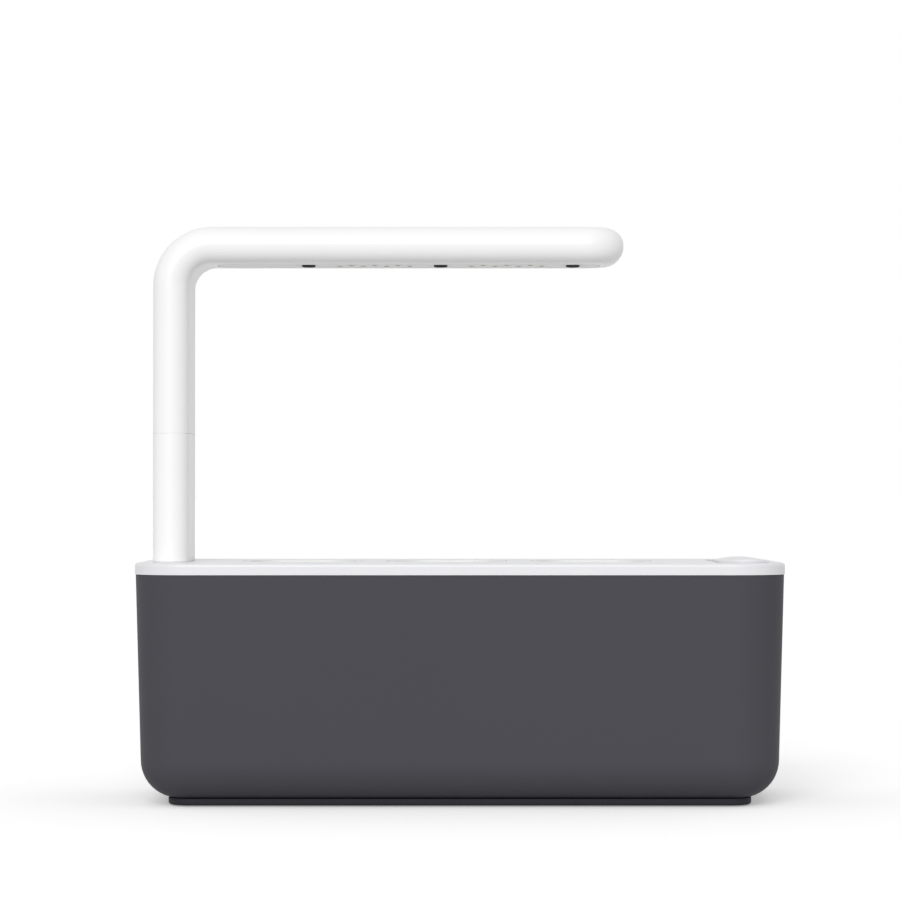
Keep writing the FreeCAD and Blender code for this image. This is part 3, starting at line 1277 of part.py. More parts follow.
def make_arm_cuts():
    """Everything that is cut from the arm: spigot core, board slot, window and pilots."""
    body = new_body("ArmCuts")
    foot = S["seam_level"] - S["spigot_length"]
    wall = S["spigot_wall"]
    core = sketch_on(body, "Core", x=POST_X, z=foot - OVER)
    add_round_box(core, S["spigot_width"] - 2 * wall, S["spigot_depth"] - 2 * wall, S["spigot_corner"] - wall)
    pad(body, "CorePad", core, S["spigot_length"] + S["arm_wall"] + 2 * OVER)
    slot = sketch_on(body, "BoardSlot", x=POST_X, z=S["driver_level"] - S["rail_fit"])
    fit = S["rail_fit"]
    add_rectangle(slot, S["driver_thickness"] + 2 * fit, S["driver_width"] + 2 * fit)
    pad(body, "BoardSlotPad", slot, S["driver_height"] + 2 * fit)
    rebate = sketch_on(body, "Rebate", x=PANEL_MIDDLE, z=ARM_UNDER - OVER)
    grow = S["panel_fit"]
    add_round_box(rebate, S["panel_length"] + 2 * grow, S["panel_width"] + 2 * grow, S["panel_corner"] + grow)
    pad(body, "RebatePad", rebate, S["panel_height"] + S["gasket_height"] + OVER)
    window = sketch_on(body, "Window", x=PANEL_MIDDLE, z=ARM_UNDER - OVER)
    shrink = S["ledge"]
    add_round_box(window, S["panel_length"] - 2 * shrink, S["panel_width"] - 2 * shrink,
                  S["panel_corner"] - shrink)
    pad(body, "WindowPad", window, CAVITY_FLOOR - ARM_UNDER + S["ledge_height"] + 2 * OVER)
    pilots = sketch_on(body, "Pilots", z=CUP_BACK - OVER)
    for k, x in enumerate(SCREW_XS):
        add_circle(pilots, S["screw_radius"] + S["screw_fit"] / 2, x, 0, f"pilot{k}")
    pad(body, "PilotPad", pilots, S["screw_bite"] + OVER)
    return body


def make_led_cover():
    """Panel under the arm with lamp windows, screw cups and a shallow dish round each screw."""
    body = new_body("led_cover")
    plan = sketch_on(body, "Outline", x=PANEL_MIDDLE, z=ARM_UNDER)
    add_round_box(plan, S["panel_length"], S["panel_width"], S["panel_corner"])
    pad(body, "Plate", plan, S["panel_height"])
    cups = sketch_on(body, "Cups", z=ARM_UNDER)
    dishes = sketch_on(body, "Dishes", z=ARM_UNDER)
    bores = sketch_on(body, "Bores", z=ARM_UNDER)
    holes = sketch_on(body, "Holes", z=ARM_UNDER)
    for k, x in enumerate(SCREW_XS):
        add_circle(cups, S["cup_outer"], x, 0, f"cup{k}")
        add_circle(dishes, S["dish_radius"], x, 0, f"dish{k}")
        add_circle(bores, S["plug_radius"] + S["cup_hole_fit"], x, 0, f"bore{k}")
        add_circle(holes, S["screw_radius"] + S["screw_fit"], x, 0, f"hole{k}")
    pad(body, "CupPad", cups, S["panel_height"] + S["cup_rise"])
    cut(body, "DishCut", dishes, S["dish_depth"], up=True)
    cut(body, "BoreCut", bores, S["panel_height"] + S["cup_rise"] - S["cup_floor"], up=True)
    cut(body, "HoleCut", holes, S["panel_height"] + S["cup_rise"] + OVER, up=True)
    windows = sketch_on(body, "Windows", z=ARM_UNDER)
    for k, (x, y) in enumerate(led_places()):
        add_circle(windows, S["led_window"], x, y, f"window{k}")
    cut(body, "WindowCut", windows, S["panel_height"] + OVER, up=True)
    return body


def make_panel_gasket():
    """Thin gasket between the panel and the arm's ledge."""
    body = new_body("panel_gasket")
    plan = sketch_on(body, "Ring", x=PANEL_MIDDLE, z=PANEL_BACK)
    add_round_box(plan, S["panel_length"], S["panel_width"], S["panel_corner"], "outer")
    shrink = S["gasket_width"]
    add_round_box(plan, S["panel_length"] - 2 * shrink, S["panel_width"] - 2 * shrink,
                  S["panel_corner"] - shrink, "inner")
    pad(body, "RingPad", plan, S["gasket_height"])
    return body


def make_led_board():
    """Lamp board behind the panel with a feed connector at its left end."""
    body = new_body("led_board")
    start = PANEL_LEFT + S["board_start"]
    plan = sketch_on(body, "Board", x=start + S["board_length"] / 2, z=PANEL_BACK)
    add_round_box(plan, S["board_length"], S["board_width"], S["board_corner"])
    pad(body, "BoardPad", plan, S["board_height"])
    add_cup_holes(body, PANEL_BACK)
    plug_x = start + S["connector_inset"] + S["connector_length"] / 2
    plug = sketch_on(body, "Connector", x=plug_x, z=PANEL_BACK)
    add_rectangle(plug, S["connector_length"], S["connector_width"])
    pad(body, "ConnectorPad", plug, S["board_height"] + S["connector_height"])
    return body


def add_cup_holes(body, level):
    """Cut room for the panel's screw cups."""
    holes = sketch_on(body, "CupHoles", z=level)
    for k, x in enumerate(SCREW_XS):
        add_circle(holes, S["cup_outer"] + S["panel_fit"], x, 0, f"hole{k}")
    cut(body, "CupHoleCut", holes, 4 * S["board_height"], up=True)


def make_heat_spreader():
    """Aluminium bar on the back of the lamp board."""
    body = new_body("heat_spreader")
    start = PANEL_LEFT + S["spreader_start"]
    length = S["board_length"] + S["board_start"] - S["spreader_start"]
    plan = sketch_on(body, "Bar", x=start + length / 2, z=BOARD_BACK)
    add_round_box(plan, length, S["board_width"], S["board_corner"])
    pad(body, "BarPad", plan, S["spreader_height"])
    add_cup_holes(body, BOARD_BACK)
    return body


def make_leds():
    """Fourteen lamps on the board, each a base with a round lens."""
    body = new_body("leds")
    bases = sketch_on(body, "Bases", z=PANEL_BACK)
    lenses = sketch_on(body, "Lenses", z=PANEL_BACK)
    for k, (x, y) in enumerate(led_places()):
        add_circle(bases, S["led_radius"], x, y, f"base{k}")
        add_circle(lenses, S["led_lens"], x, y, f"lens{k}")
    pad(body, "BasePad", bases, S["led_base"], down=True)
    pad(body, "LensPad", lenses, S["led_height"], down=True)
    fillet(body, "LensRound", (S["led_height"] - S["led_base"]) * 0.8,
           lambda e: flat_at(e, PANEL_BACK - S["led_height"]))
    return body


def make_panel_screws():
    """Three screws that hold the panel to the posts in the arm."""
    body = new_body("panel_screws")
    head_top = CUP_BACK - S["cup_floor"]
    heads = sketch_on(body, "Heads", z=head_top)
    shanks = sketch_on(body, "Shanks", z=head_top)
    for k, x in enumerate(SCREW_XS):
        add_circle(heads, S["screw_head_radius"], x, 0, f"head{k}")
        add_circle(shanks, S["screw_radius"], x, 0, f"shank{k}")
    pad(body, "HeadPad", heads, S["screw_head_height"], down=True)
    pad(body, "ShankPad", shanks, S["screw_bite"])
    return body


def make_screw_plugs():
    """Three black rubber plugs over the panel's screws."""
    body = new_body("screw_plugs")
    low = ARM_UNDER - S["plug_stand"]
    plan = sketch_on(body, "Plugs", z=low)
    for k, x in enumerate(SCREW_XS):
        add_circle(plan, S["plug_radius"], x, 0, f"plug{k}")
    pad(body, "PlugPad", plan, S["plug_stand"] + S["plug_bite"])
    fillet(body, "PlugEdge", S["plug_stand"] / 2, lambda e: flat_at(e, low))
    return body


def make_driver_board():
    """Lamp driver board standing in the post's rails."""
    body = new_body("driver_board")
    plan = sketch_on(body, "Board", x=POST_X, z=S["driver_level"])
    add_rectangle(plan, S["driver_thickness"], S["driver_width"])
    pad(body, "BoardPad", plan, S["driver_height"])
    return body


def make_driver_parts():
    """Coil, two capacitors, two chips and a timer crystal on the driver board."""
    body = new_body("driver_parts")
    face = POST_X + S["driver_thickness"] / 2
    middle = S["driver_level"] + S["driver_height"] / 2
    coil = sketch_on(body, "Coil", "YZ_Plane", x=0, y=middle, z=face)
    add_circle(coil, S["coil_radius"])
    pad(body, "CoilPad", coil, S["coil_height"])
    caps = sketch_on(body, "Capacitors", "YZ_Plane", y=middle, z=face)
    for k, side in enumerate((-1, 1)):
        x, y = side * S["driver_width"] / 4, -S["driver_height"] / 4
        add_circle(caps, S["capacitor_radius"], x, y, f"cap{k}")
    pad(body, "CapacitorPad", caps, S["capacitor_height"])
    for k, (sy, sz) in enumerate(((-1, 1), (1, 1))):
        chip = sketch_on(body, f"Chip{k}", "YZ_Plane", x=sy * S["driver_width"] / 4,
                         y=middle + sz * S["driver_height"] / 4, z=face)
        add_rectangle(chip, S["chip_size"], S["chip_size"])
        pad(body, f"Chip{k}Pad", chip, S["chip_height"])
    return body


def make_lamp_wires():
    """Leads from the arm's pins to the driver board and on round the bend to the lamp board."""
    radius = S["lead_radius"].value
    post = POST_X.value
    face = post + S["driver_thickness"].value / 2 + radius
    pitch = S["contact_pitch"].value / 2
    pin_top = (S["seam_level"] - S["spigot_length"] + S["carrier_height"] + S["contact_tail"]).value
    foot = S["driver_level"].value
    head = foot + S["driver_height"].value
    feed = S["feed_level"].value
    slant, lap = S["lead_slant"].value, S["lead_lap"].value
    end = (PANEL_LEFT + S["board_start"] + S["connector_inset"]).value
    leads = []
    for side in (-1, 1):
        y = side * pitch
        middle = (pin_top + foot) / 2
        lower = [Vector(post, y, pin_top), Vector(post, y, middle - slant), Vector(face, y, middle + slant),
                 Vector(face, y, foot + lap)]
        leads.append(lead(lower, radius))
        near = side * 2 * radius
        reach = (end - face) / 2
        short = reach * CORNER_SHARE
        upper = [Vector(face, near, head - lap), Vector(face, near, feed - reach),
                 Vector(face + short, near, feed - short), Vector(face + reach, near, feed),
                 Vector(end, near, feed)]
        leads.append(lead(upper, radius))
    return store_shape("lamp_wires", leads)


def check(objects):
    """Stop if anything in the document failed or a piece has no sound solid."""
    for item in DOC.Objects:
        if "Invalid" in item.State or "Error" in item.State:
            raise RuntimeError(f"{item.Label} failed: {item.State}")
    for item in objects:
        if item.Shape.isNull() or not item.Shape.isValid() or not item.Shape.Solids:
            raise RuntimeError(f"{item.Label} has no sound solid")


def build():
    """Make every piece and return them."""
    pieces = [
        make_water_tank(), make_base_plinth(), make_rubber_feet(),
        make_lid_cover(), make_socket_housing(), make_socket_seal(), make_socket_cover(),
        make_socket_cover_screws(), make_contact_block(), make_contact_springs(),
        make_dc_inlet(), make_dc_inlet_pin(), make_inlet_wires(),
        make_float_guide(), make_float_cap(), make_float_stem(), make_float_block(),
    ]
    for index, name in enumerate(CUP_NAMES):
        pieces.append(make_plant_cup(index, name))
        pieces.append(make_grow_plug(index, name))
        pieces.append(make_cup_label(index, name))
        pieces.append(make_wick(index, name))
    pieces += [
        make_extension_shell(), make_carrier("extension_plug", LID_TOP), make_pins("extension_pins", LID_TOP),
        make_extension_socket(), make_extension_springs(), make_extension_wires(),
        make_arm_shell(), make_carrier("lamp_plug", S["seam_level"]), make_pins("lamp_pins", S["seam_level"]),
        make_led_cover(), make_panel_gasket(), make_led_board(), make_heat_spreader(), make_leds(),
        make_panel_screws(), make_screw_plugs(), make_driver_board(), make_driver_parts(),
        make_lamp_wires(),
    ]
    return pieces


def main():
    """Build the garden and write one file for each piece."""
    pieces = build()
    DOC.recompute()
    check(pieces)
    os.makedirs("parts", exist_ok=True)
    for piece in pieces:
        piece.Shape.exportStep(os.path.join("parts", f"{piece.Label}.step"))
        box = piece.Shape.BoundBox
        print(f"{piece.Label}: {len(piece.Shape.Solids)} solids, {piece.Shape.Volume:.0f} mm3, "
              f"z {box.ZMin:.1f} to {box.ZMax:.1f}")


main()
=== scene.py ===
"""Countertop hydroponic garden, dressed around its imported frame.

A dark grey water tank on a recessed plinth carries a white lid with three plant cups and a
float that shows the water level. A white post with a bent lamp arm stands at its left end.
"""

import logging
import math
from abc import ABC, abstractmethod
from dataclasses import dataclass
from enum import Enum
from typing import Callable, Sequence

import bmesh
import bpy
from mathutils import Matrix, Vector, noise


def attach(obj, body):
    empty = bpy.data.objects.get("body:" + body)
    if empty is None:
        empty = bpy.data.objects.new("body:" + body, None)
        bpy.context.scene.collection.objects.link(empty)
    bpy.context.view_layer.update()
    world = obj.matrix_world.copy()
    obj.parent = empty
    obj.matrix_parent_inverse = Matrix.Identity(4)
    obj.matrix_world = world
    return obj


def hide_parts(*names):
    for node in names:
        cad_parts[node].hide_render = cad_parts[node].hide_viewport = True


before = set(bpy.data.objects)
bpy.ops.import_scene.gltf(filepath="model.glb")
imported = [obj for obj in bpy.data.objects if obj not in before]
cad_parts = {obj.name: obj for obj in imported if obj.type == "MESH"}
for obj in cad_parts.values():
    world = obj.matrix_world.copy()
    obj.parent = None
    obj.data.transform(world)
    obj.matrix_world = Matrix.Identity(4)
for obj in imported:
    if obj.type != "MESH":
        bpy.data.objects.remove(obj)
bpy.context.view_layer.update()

LOG = logging.getLogger("garden")

# A colour is linear red, green and blue; a triple is X, Y and Z.
Color = tuple[float, float, float]
Triple = tuple[float, float, float]
# A point is X and Y; a step is inwards and along; a span is a lowest and a highest value.
Point = tuple[float, float]
Step = tuple[float, float]
Span = tuple[float, float]

WHITE: Color = (1.0, 1.0, 1.0)
EVEN: Triple = (1.0, 1.0, 1.0)
MIDDLE: Point = (0.0, 0.0)
MM = 0.001
# Points and levels nearer to each other than this, in millimetres, count as one.
TOUCH = 0.001
# A flat face's normal is less than this off its axis.
FLAT = 0.01

# Places that sub-assemblies share, in millimetres
RIM_LEVEL = 106.6
LID_LEVEL = 112.0
SEAM_LEVEL = 172.0
POST_X = -135.05
INLET_X = -117.5
FLOAT_X = 131.1


class Body(Enum):
    """The frame's bodies."""

    TANK = "tank"
    LID = "lid"
    FLOAT = "float"
    POD_LEFT = "pod_left"
    POD_MIDDLE = "pod_middle"
    POD_RIGHT = "pod_right"
    EXTENSION = "extension"
    LAMP_ARM = "lamp_arm"


class Spot(Enum):
    """Where each plant cup stands: the ending of its nodes' names and its X in millimetres."""

    LEFT = ("left", -74.0)
    MIDDLE = ("middle", -6.0)
    RIGHT = ("right", 62.0)

    @property
    def side(self) -> str:
        """The word that ends the names of the cup's nodes."""
        return self.value[0]

    @property
    def x(self) -> float:
        """The cup's middle along X."""
        return self.value[1]


# Shader helpers


class Sock:
    """One output socket, with operators that add Math nodes."""

    def __init__(self, shader: "Shader", out: bpy.types.NodeSocket) -> None:
        """Keep the output and the shader that it belongs to."""
        self.shader = shader
        self.out = out

    def _math(self, operation: str, first: object, second: object) -> "Sock":
        """Add a Math node on two values and return its result."""
        return self.shader.node("ShaderNodeMath", {"operation": operation}, {0: first, 1: second})

    def __add__(self, other: object) -> "Sock":
        """Sum of this and a number or output."""
        return self._math("ADD", self, other)

    def __radd__(self, other: object) -> "Sock":
        """Sum of a number and this."""
        return self._math("ADD", other, self)

    def __sub__(self, other: object) -> "Sock":
        """This less a number or output."""
        return self._math("SUBTRACT", self, other)

    def __rsub__(self, other: object) -> "Sock":
        """A number less this."""
        return self._math("SUBTRACT", other, self)

    def __mul__(self, other: object) -> "Sock":
        """Product of this and a number or output."""
        return self._math("MULTIPLY", self, other)

    def __rmul__(self, other: object) -> "Sock":
        """Product of a number and this."""
        return self._math("MULTIPLY", other, self)

    def __gt__(self, level: float) -> "Sock":
        """1 where this is over the level, and 0 elsewhere."""
        return self._math("GREATER_THAN", self, level)

    def clamp(self) -> "Sock":
        """This, kept from 0 to 1."""
        return self.shader.node("ShaderNodeClamp", {}, {0: self})

    def over(self, level: float, gain: float) -> "Sock":
        """How far this is over a level, 0 below it, times a gain."""
        return (self - level).clamp() * gain

    def spread(self, low: float, high: float) -> "Sock":
        """This, from 0 to 1, spread from a low value to a high one."""
        return self * (high - low) + low


class Shader:
    """The node tree of one material or of the world."""

    def __init__(self, tree: bpy.types.NodeTree) -> None:
        """Start from an empty tree."""
        self.tree = tree
        tree.nodes.clear()

    def node(self, kind: str, settings: dict[str, object], values: dict[str | int, object],
             output: str | int = 0) -> Sock | None:
        """Add a node, apply its settings, then set or link its sockets.

        Args:
            kind: The node's type.
            settings: Properties that are set first, such as a Math node's operation.
            values: A number, colour or output for each named or numbered input.
            output: Name or number of the output to return.

        Returns:
            That output, or None for a node without outputs.
        """
        made = self.tree.nodes.new(kind)
        for name, value in settings.items():
            setattr(made, name, value)
        for key, value in values.items():
            socket = made.inputs[key]
            if isinstance(value, Sock):
                self.tree.links.new(value.out, socket)
            elif socket.type == "RGBA":
                socket.default_value = (*value, 1.0)
            else:
                socket.default_value = value
        return Sock(self, made.outputs[output]) if made.outputs else None

    def noise(self, scale: float, detail: float = 2.0, stretch: Triple = EVEN) -> Sock:
        """Read a noise on the piece's own coordinates.

        Args:
            scale: Cells per metre.
            detail: Octaves on top of the first.
            stretch: Factors along X, Y and Z that draw the cells out.

        Returns:
            The noise, from 0 to 1.
        """
        place = self.node("ShaderNodeTexCoord", {}, {}, "Object")
        point = self.node("ShaderNodeMapping", {}, {"Vector": place, "Scale": stretch})
        values = {"Vector": point, "Scale": scale, "Detail": detail, "Roughness": 0.55}
        return self.node("ShaderNodeTexNoise", {}, values, "Fac")

    def mix(self, factor: Sock, first: Color | Sock, second: Color | Sock) -> Sock:
        """Blend two colours by a factor."""
        return self.node("ShaderNodeMix", {"data_type": "RGBA"}, {0: factor, 6: first, 7: second}, 2)

    def bump(self, height: Sock, depth: float, over: Sock | None = None) -> Sock:
        """Turn a height into a normal.

        Args:
            height: The height, from 0 to 1.
            depth: The real depth in millimetres at height 1.
            over: A normal that this one is added to.

        Returns:
            The normal.
        """
        values = {"Height": height, "Distance": depth * MM, "Strength": 1.0}
        if over:
            values["Normal"] = over
        return self.node("ShaderNodeBump", {}, values)

    def surface(self, values: dict[str | int, object]) -> None:
        """End the tree in a Principled shader with these sockets."""
        made = self.node("ShaderNodeBsdfPrincipled", {}, values)
        self.node("ShaderNodeOutputMaterial", {}, {"Surface": made})


# Finishes


def srgb(red: int, green: int, blue: int) -> Color:
    """Turn a screen colour of 0 to 255 into a linear one, by the sRGB curve."""
    shares = (value / 255 for value in (red, green, blue))
    return tuple(s / 12.92 if s <= 0.04045 else ((s + 0.055) / 1.055) ** 2.4 for s in shares)


def tint(color: Color, factor: float, lift: float = 0.0) -> Color:
    """Scale a colour by a factor and lift it, to white at most."""
    return tuple(min(1.0, value * factor + lift) for value in color)


class Finish(ABC):
    """A finish that makes its material once and shares it, named for the record's slot."""

    slot: str

    @abstractmethod
    def draw(self, shader: Shader) -> None:
        """Fill the material's tree."""

    def material(self) -> bpy.types.Material:
        """Return the finish's material, made at the first call.

        Returns:
            The shared material.
        """
        title = f"{self.slot}_finish"
        known = bpy.data.materials.get(title)
        if known:
            return known
        made = bpy.data.materials.new(title)
        made.use_nodes = True
        self.draw(Shader(made.node_tree))
        return made


@dataclass(frozen=True)
class MouldedPlastic(Finish):
    """Injection moulded plastic with a spark-eroded texture and faint flow marks."""

    slot: str
    color: Color
    roughness: float
    grain_scale: float = 1900.0
    grain_depth: float = 0.012
    specular: float = 0.5
    handled: float = 0.05
    wave_depth: float = 0.05
    flow_shade: float = 0.035

    def draw(self, shader: Shader) -> None:
        """Fill the tree with grain, flow marks and a little handling.

        Args:
            shader: The material's tree.
        """
        flow = shader.noise(scale=9.0, detail=3.0)
        touched = shader.noise(scale=38.0, detail=4.0)
        grain = shader.noise(self.grain_scale, detail=1.0)
        waves = shader.noise(scale=14.0, detail=0.0)
        darker = tint(self.color, 1.0 - self.flow_shade)
        lighter = tint(self.color, 1.0 + self.flow_shade)
        shader.surface({
            "Base Color": shader.mix(flow, darker, lighter),
            "Roughness": touched.spread(self.roughness - self.handled, self.roughness + self.handled),
            "Specular IOR Level": self.specular,
            "Normal": shader.bump(grain, self.grain_depth, shader.bump(waves, self.wave_depth)),
        })


@dataclass(frozen=True)
class Rubber(Finish):
    """Matte rubber with fine dust."""

    slot: str
    color: Color
    roughness: Span = (0.62, 0.82)
    pore_depth: float = 0.015

    def draw(self, shader: Shader) -> None:
        """Fill the tree with pores and a dusting.

        Args:
            shader: The material's tree.
        """
        dust = shader.noise(scale=160.0, detail=5.0)
        pores = shader.noise(scale=2600.0)
        dusty = tint(self.color, factor=1.5, lift=0.012)
        shader.surface({
            "Base Color": shader.mix(dust.over(level=0.45, gain=2.0), self.color, dusty),
            "Roughness": dust.spread(*self.roughness),
            "Specular IOR Level": 0.35,
            "Normal": shader.bump(pores, self.pore_depth),
        })


@dataclass(frozen=True)
class BareMetal(Finish):
    """Drawn, plated or rolled metal with fine lines."""

    slot: str
    color: Color
    roughness: float
    lines: Triple = (1.0, 1.0, 14.0)
    line_roughness: float = 0.18
    line_depth: float = 0.006
    tarnish_roughness: float = 0.12

    def draw(self, shader: Shader) -> None:
        """Fill the tree with drawn lines and slight tarnish.

        Args:
            shader: The material's tree.
        """
        line = shader.noise(scale=900.0, stretch=self.lines)
        tarnish = shader.noise(scale=120.0, detail=4.0)
        dull = tint(self.color, factor=0.72)
        worn = line * self.line_roughness + tarnish * self.tarnish_roughness
        shader.surface({
            "Base Color": shader.mix(tarnish.over(level=0.5, gain=1.6), self.color, dull),
            "Metallic": 1.0,
            "Roughness": worn + self.roughness,
            "Normal": shader.bump(line, self.line_depth),
        })


@dataclass(frozen=True)
class Laminate(Finish):
    """Circuit board laminate under solder mask, with the weave just showing."""

    slot: str
    color: Color
    roughness: Span = (0.3, 0.4)
    weave_depth: float = 0.01

    def draw(self, shader: Shader) -> None:
        """Fill the tree with the weave of the glass cloth.

        Args:
            shader: The material's tree.
        """
        warp = shader.noise(scale=700.0, detail=0.0, stretch=(1.0, 6.0, 1.0))
        weft = shader.noise(scale=700.0, detail=0.0, stretch=(6.0, 1.0, 1.0))
        weave = warp * 0.5 + weft * 0.5
        shader.surface({
            "Base Color": shader.mix(weave, self.color, tint(self.color, factor=0.9)),
            "Roughness": weave.spread(*self.roughness),
            "Coat Weight": 0.3,
            "Normal": shader.bump(weave, self.weave_depth),
        })


@dataclass(frozen=True)
class LampResin(Finish):
    """Clear silicone over pale yellow phosphor."""

    slot: str
    clear: Color
    phosphor: Color
    roughness: Span = (0.22, 0.34)
    grain_depth: float = 0.01

    def draw(self, shader: Shader) -> None:
        """Fill the tree with grains of phosphor.

        Args:
            shader: The material's tree.
        """
        grains = shader.noise(scale=5200.0)
        shader.surface({
            "Base Color": shader.mix(grains, self.phosphor, self.clear),
            "Roughness": grains.spread(*self.roughness),
            "Coat Weight": 0.6,
            "Coat Roughness": 0.06,
            "Normal": shader.bump(grains, self.grain_depth),
        })


@dataclass(frozen=True)
class GrowMedium(Finish):
    """Pressed peat and coir, dark and fibrous."""

    slot: str
    peat: Color
    fibre: Color
    fibre_share: float = 0.7
    fibre_height: float = 0.4
    crumb_depth: float = 0.6

    def draw(self, shader: Shader) -> None:
        """Fill the tree with crumbs and pale fibres.

        Args:
            shader: The material's tree.
        """
        crumbs = shader.noise(scale=420.0, detail=6.0)
        strands = shader.noise(scale=260.0, stretch=(1.0, 7.0, 3.0)) > 0.62
        crossing = shader.noise(scale=260.0, stretch=(7.0, 1.0, 3.0)) > 0.64
        fibres = (strands + crossing).clamp()
        ground = shader.mix(crumbs, tint(self.peat, factor=0.5), self.peat)
        shader.surface({
            "Base Color": shader.mix(fibres * self.fibre_share, ground, self.fibre),
            "Roughness": 0.95 - crumbs * 0.1,
            "Specular IOR Level": 0.2,
            "Normal": shader.bump(fibres * self.fibre_height + crumbs, self.crumb_depth),
        })


@dataclass(frozen=True)
class Paper(Finish):
    """Uncoated card with short fibres and a little foxing."""

    slot: str
    color: Color
    stain: Color
    roughness: Span = (0.78, 0.93)
    fibre_depth: float = 0.03

    def draw(self, shader: Shader) -> None:
        """Fill the tree with fibres and stains.

        Args:
            shader: The material's tree.
        """
        fibres = shader.noise(scale=1500.0, detail=4.0, stretch=(1.0, 2.5, 1.0))
        stains = shader.noise(scale=55.0, detail=3.0).over(level=0.5, gain=1.4)
        shader.surface({
            "Base Color": shader.mix(stains, self.color, self.stain),
            "Roughness": fibres.spread(*self.roughness),
            "Specular IOR Level": 0.25,
            "Normal": shader.bump(fibres, self.fibre_depth),
        })


@dataclass(frozen=True)
class Felt(Finish):
    """Needled felt, damp in patches."""

    slot: str
    dry: Color
    damp: Color
    roughness: Span = (0.88, 0.98)
    hair_depth: float = 0.25

    def draw(self, shader: Shader) -> None:
        """Fill the tree with matted fibres.

        Args:
            shader: The material's tree.
        """
        hairs = shader.noise(scale=1300.0, detail=5.0, stretch=(1.0, 1.0, 0.3))
        patches = shader.noise(scale=60.0, stretch=(1.0, 1.0, 0.5))
        shader.surface({
            "Base Color": shader.mix(patches, self.dry, self.damp),
            "Roughness": hairs.spread(*self.roughness),
            "Specular IOR Level": 0.15,
            "Sheen Weight": 0.3,
            "Normal": shader.bump(hairs, self.hair_depth),
        })


TANK_PLASTIC = MouldedPlastic("tank_plastic", srgb(75, 74, 80), roughness=0.52, grain_scale=1500.0,
                              grain_depth=0.018, specular=0.06, handled=0.04)
PLINTH_PLASTIC = MouldedPlastic("plinth_plastic", srgb(44, 43, 48), roughness=0.6, grain_scale=1500.0,
                                grain_depth=0.02, specular=0.15, handled=0.04)
WHITE_PLASTIC = MouldedPlastic("white_plastic", srgb(228, 228, 231), roughness=0.32,
                               grain_scale=2200.0, grain_depth=0.006)
ARM_PLASTIC = MouldedPlastic("arm_plastic", srgb(244, 244, 244), roughness=0.34,
                             grain_scale=2200.0, grain_depth=0.005)
INNER_PLASTIC = MouldedPlastic("inner_plastic", srgb(228, 228, 226), roughness=0.5,
                               grain_scale=1300.0, grain_depth=0.02)
PANEL_PLASTIC = MouldedPlastic("panel_plastic", srgb(232, 232, 232), roughness=0.42,
                               grain_scale=1700.0, grain_depth=0.01)
CUP_PLASTIC = MouldedPlastic("cup_plastic", srgb(226, 228, 226), roughness=0.4)
BLACK_PLASTIC = MouldedPlastic("black_plastic", srgb(38, 38, 39), roughness=0.45,
                               grain_scale=1500.0, grain_depth=0.02)
BLACK_RUBBER = Rubber("black_rubber", srgb(30, 30, 31))
WIRE_SHEATH = Rubber("wire_sheath", srgb(150, 36, 32))
CONTACT_BRASS = BareMetal("contact_brass", srgb(226, 192, 122), roughness=0.16)
SCREW_STEEL = BareMetal("screw_steel", srgb(186, 187, 190), roughness=0.22)
SPREADER_ALUMINIUM = BareMetal("spreader_aluminium", srgb(222, 223, 226), roughness=0.26,
                               lines=(1.0, 16.0, 1.0))
BOARD_WHITE = Laminate("board_white", srgb(236, 236, 232))
BOARD_GREEN = Laminate("board_green", srgb(28, 92, 52))
LAMP_RESIN = LampResin("lamp_resin", clear=srgb(214, 210, 192), phosphor=srgb(178, 170, 138))
GROW_MEDIUM = GrowMedium("grow_medium", peat=srgb(74, 56, 42), fibre=srgb(150, 118, 84))
LABEL_PAPER = Paper("label_paper", srgb(236, 234, 226), stain=srgb(214, 206, 184))
WICK_FELT = Felt("wick_felt", dry=srgb(228, 227, 220), damp=srgb(196, 194, 182))


# Mesh helpers


def quarter(radius: float, facets: int, mouth: bool = False) -> list[Step]:
    """Work out the steps of a quarter round.

    Args:
        radius: The round's radius in millimetres.
        facets: How many facets it has.
        mouth: True for a hole's mouth, which starts across the face and ends along the hole.
            False for an outer edge, which starts along the wall and ends across the face.

    Returns:
        Pairs of the step inwards and the step along the face's normal.
    """
    turns = [math.pi / 2 * k / facets for k in range(facets + 1)]
    steps = []
    for low, high in zip(turns, turns[1:]):
        across = radius * (math.cos(low) - math.cos(high))
        along = radius * (math.sin(high) - math.sin(low))
        steps.append((along, across) if mouth else (across, along))
    return steps


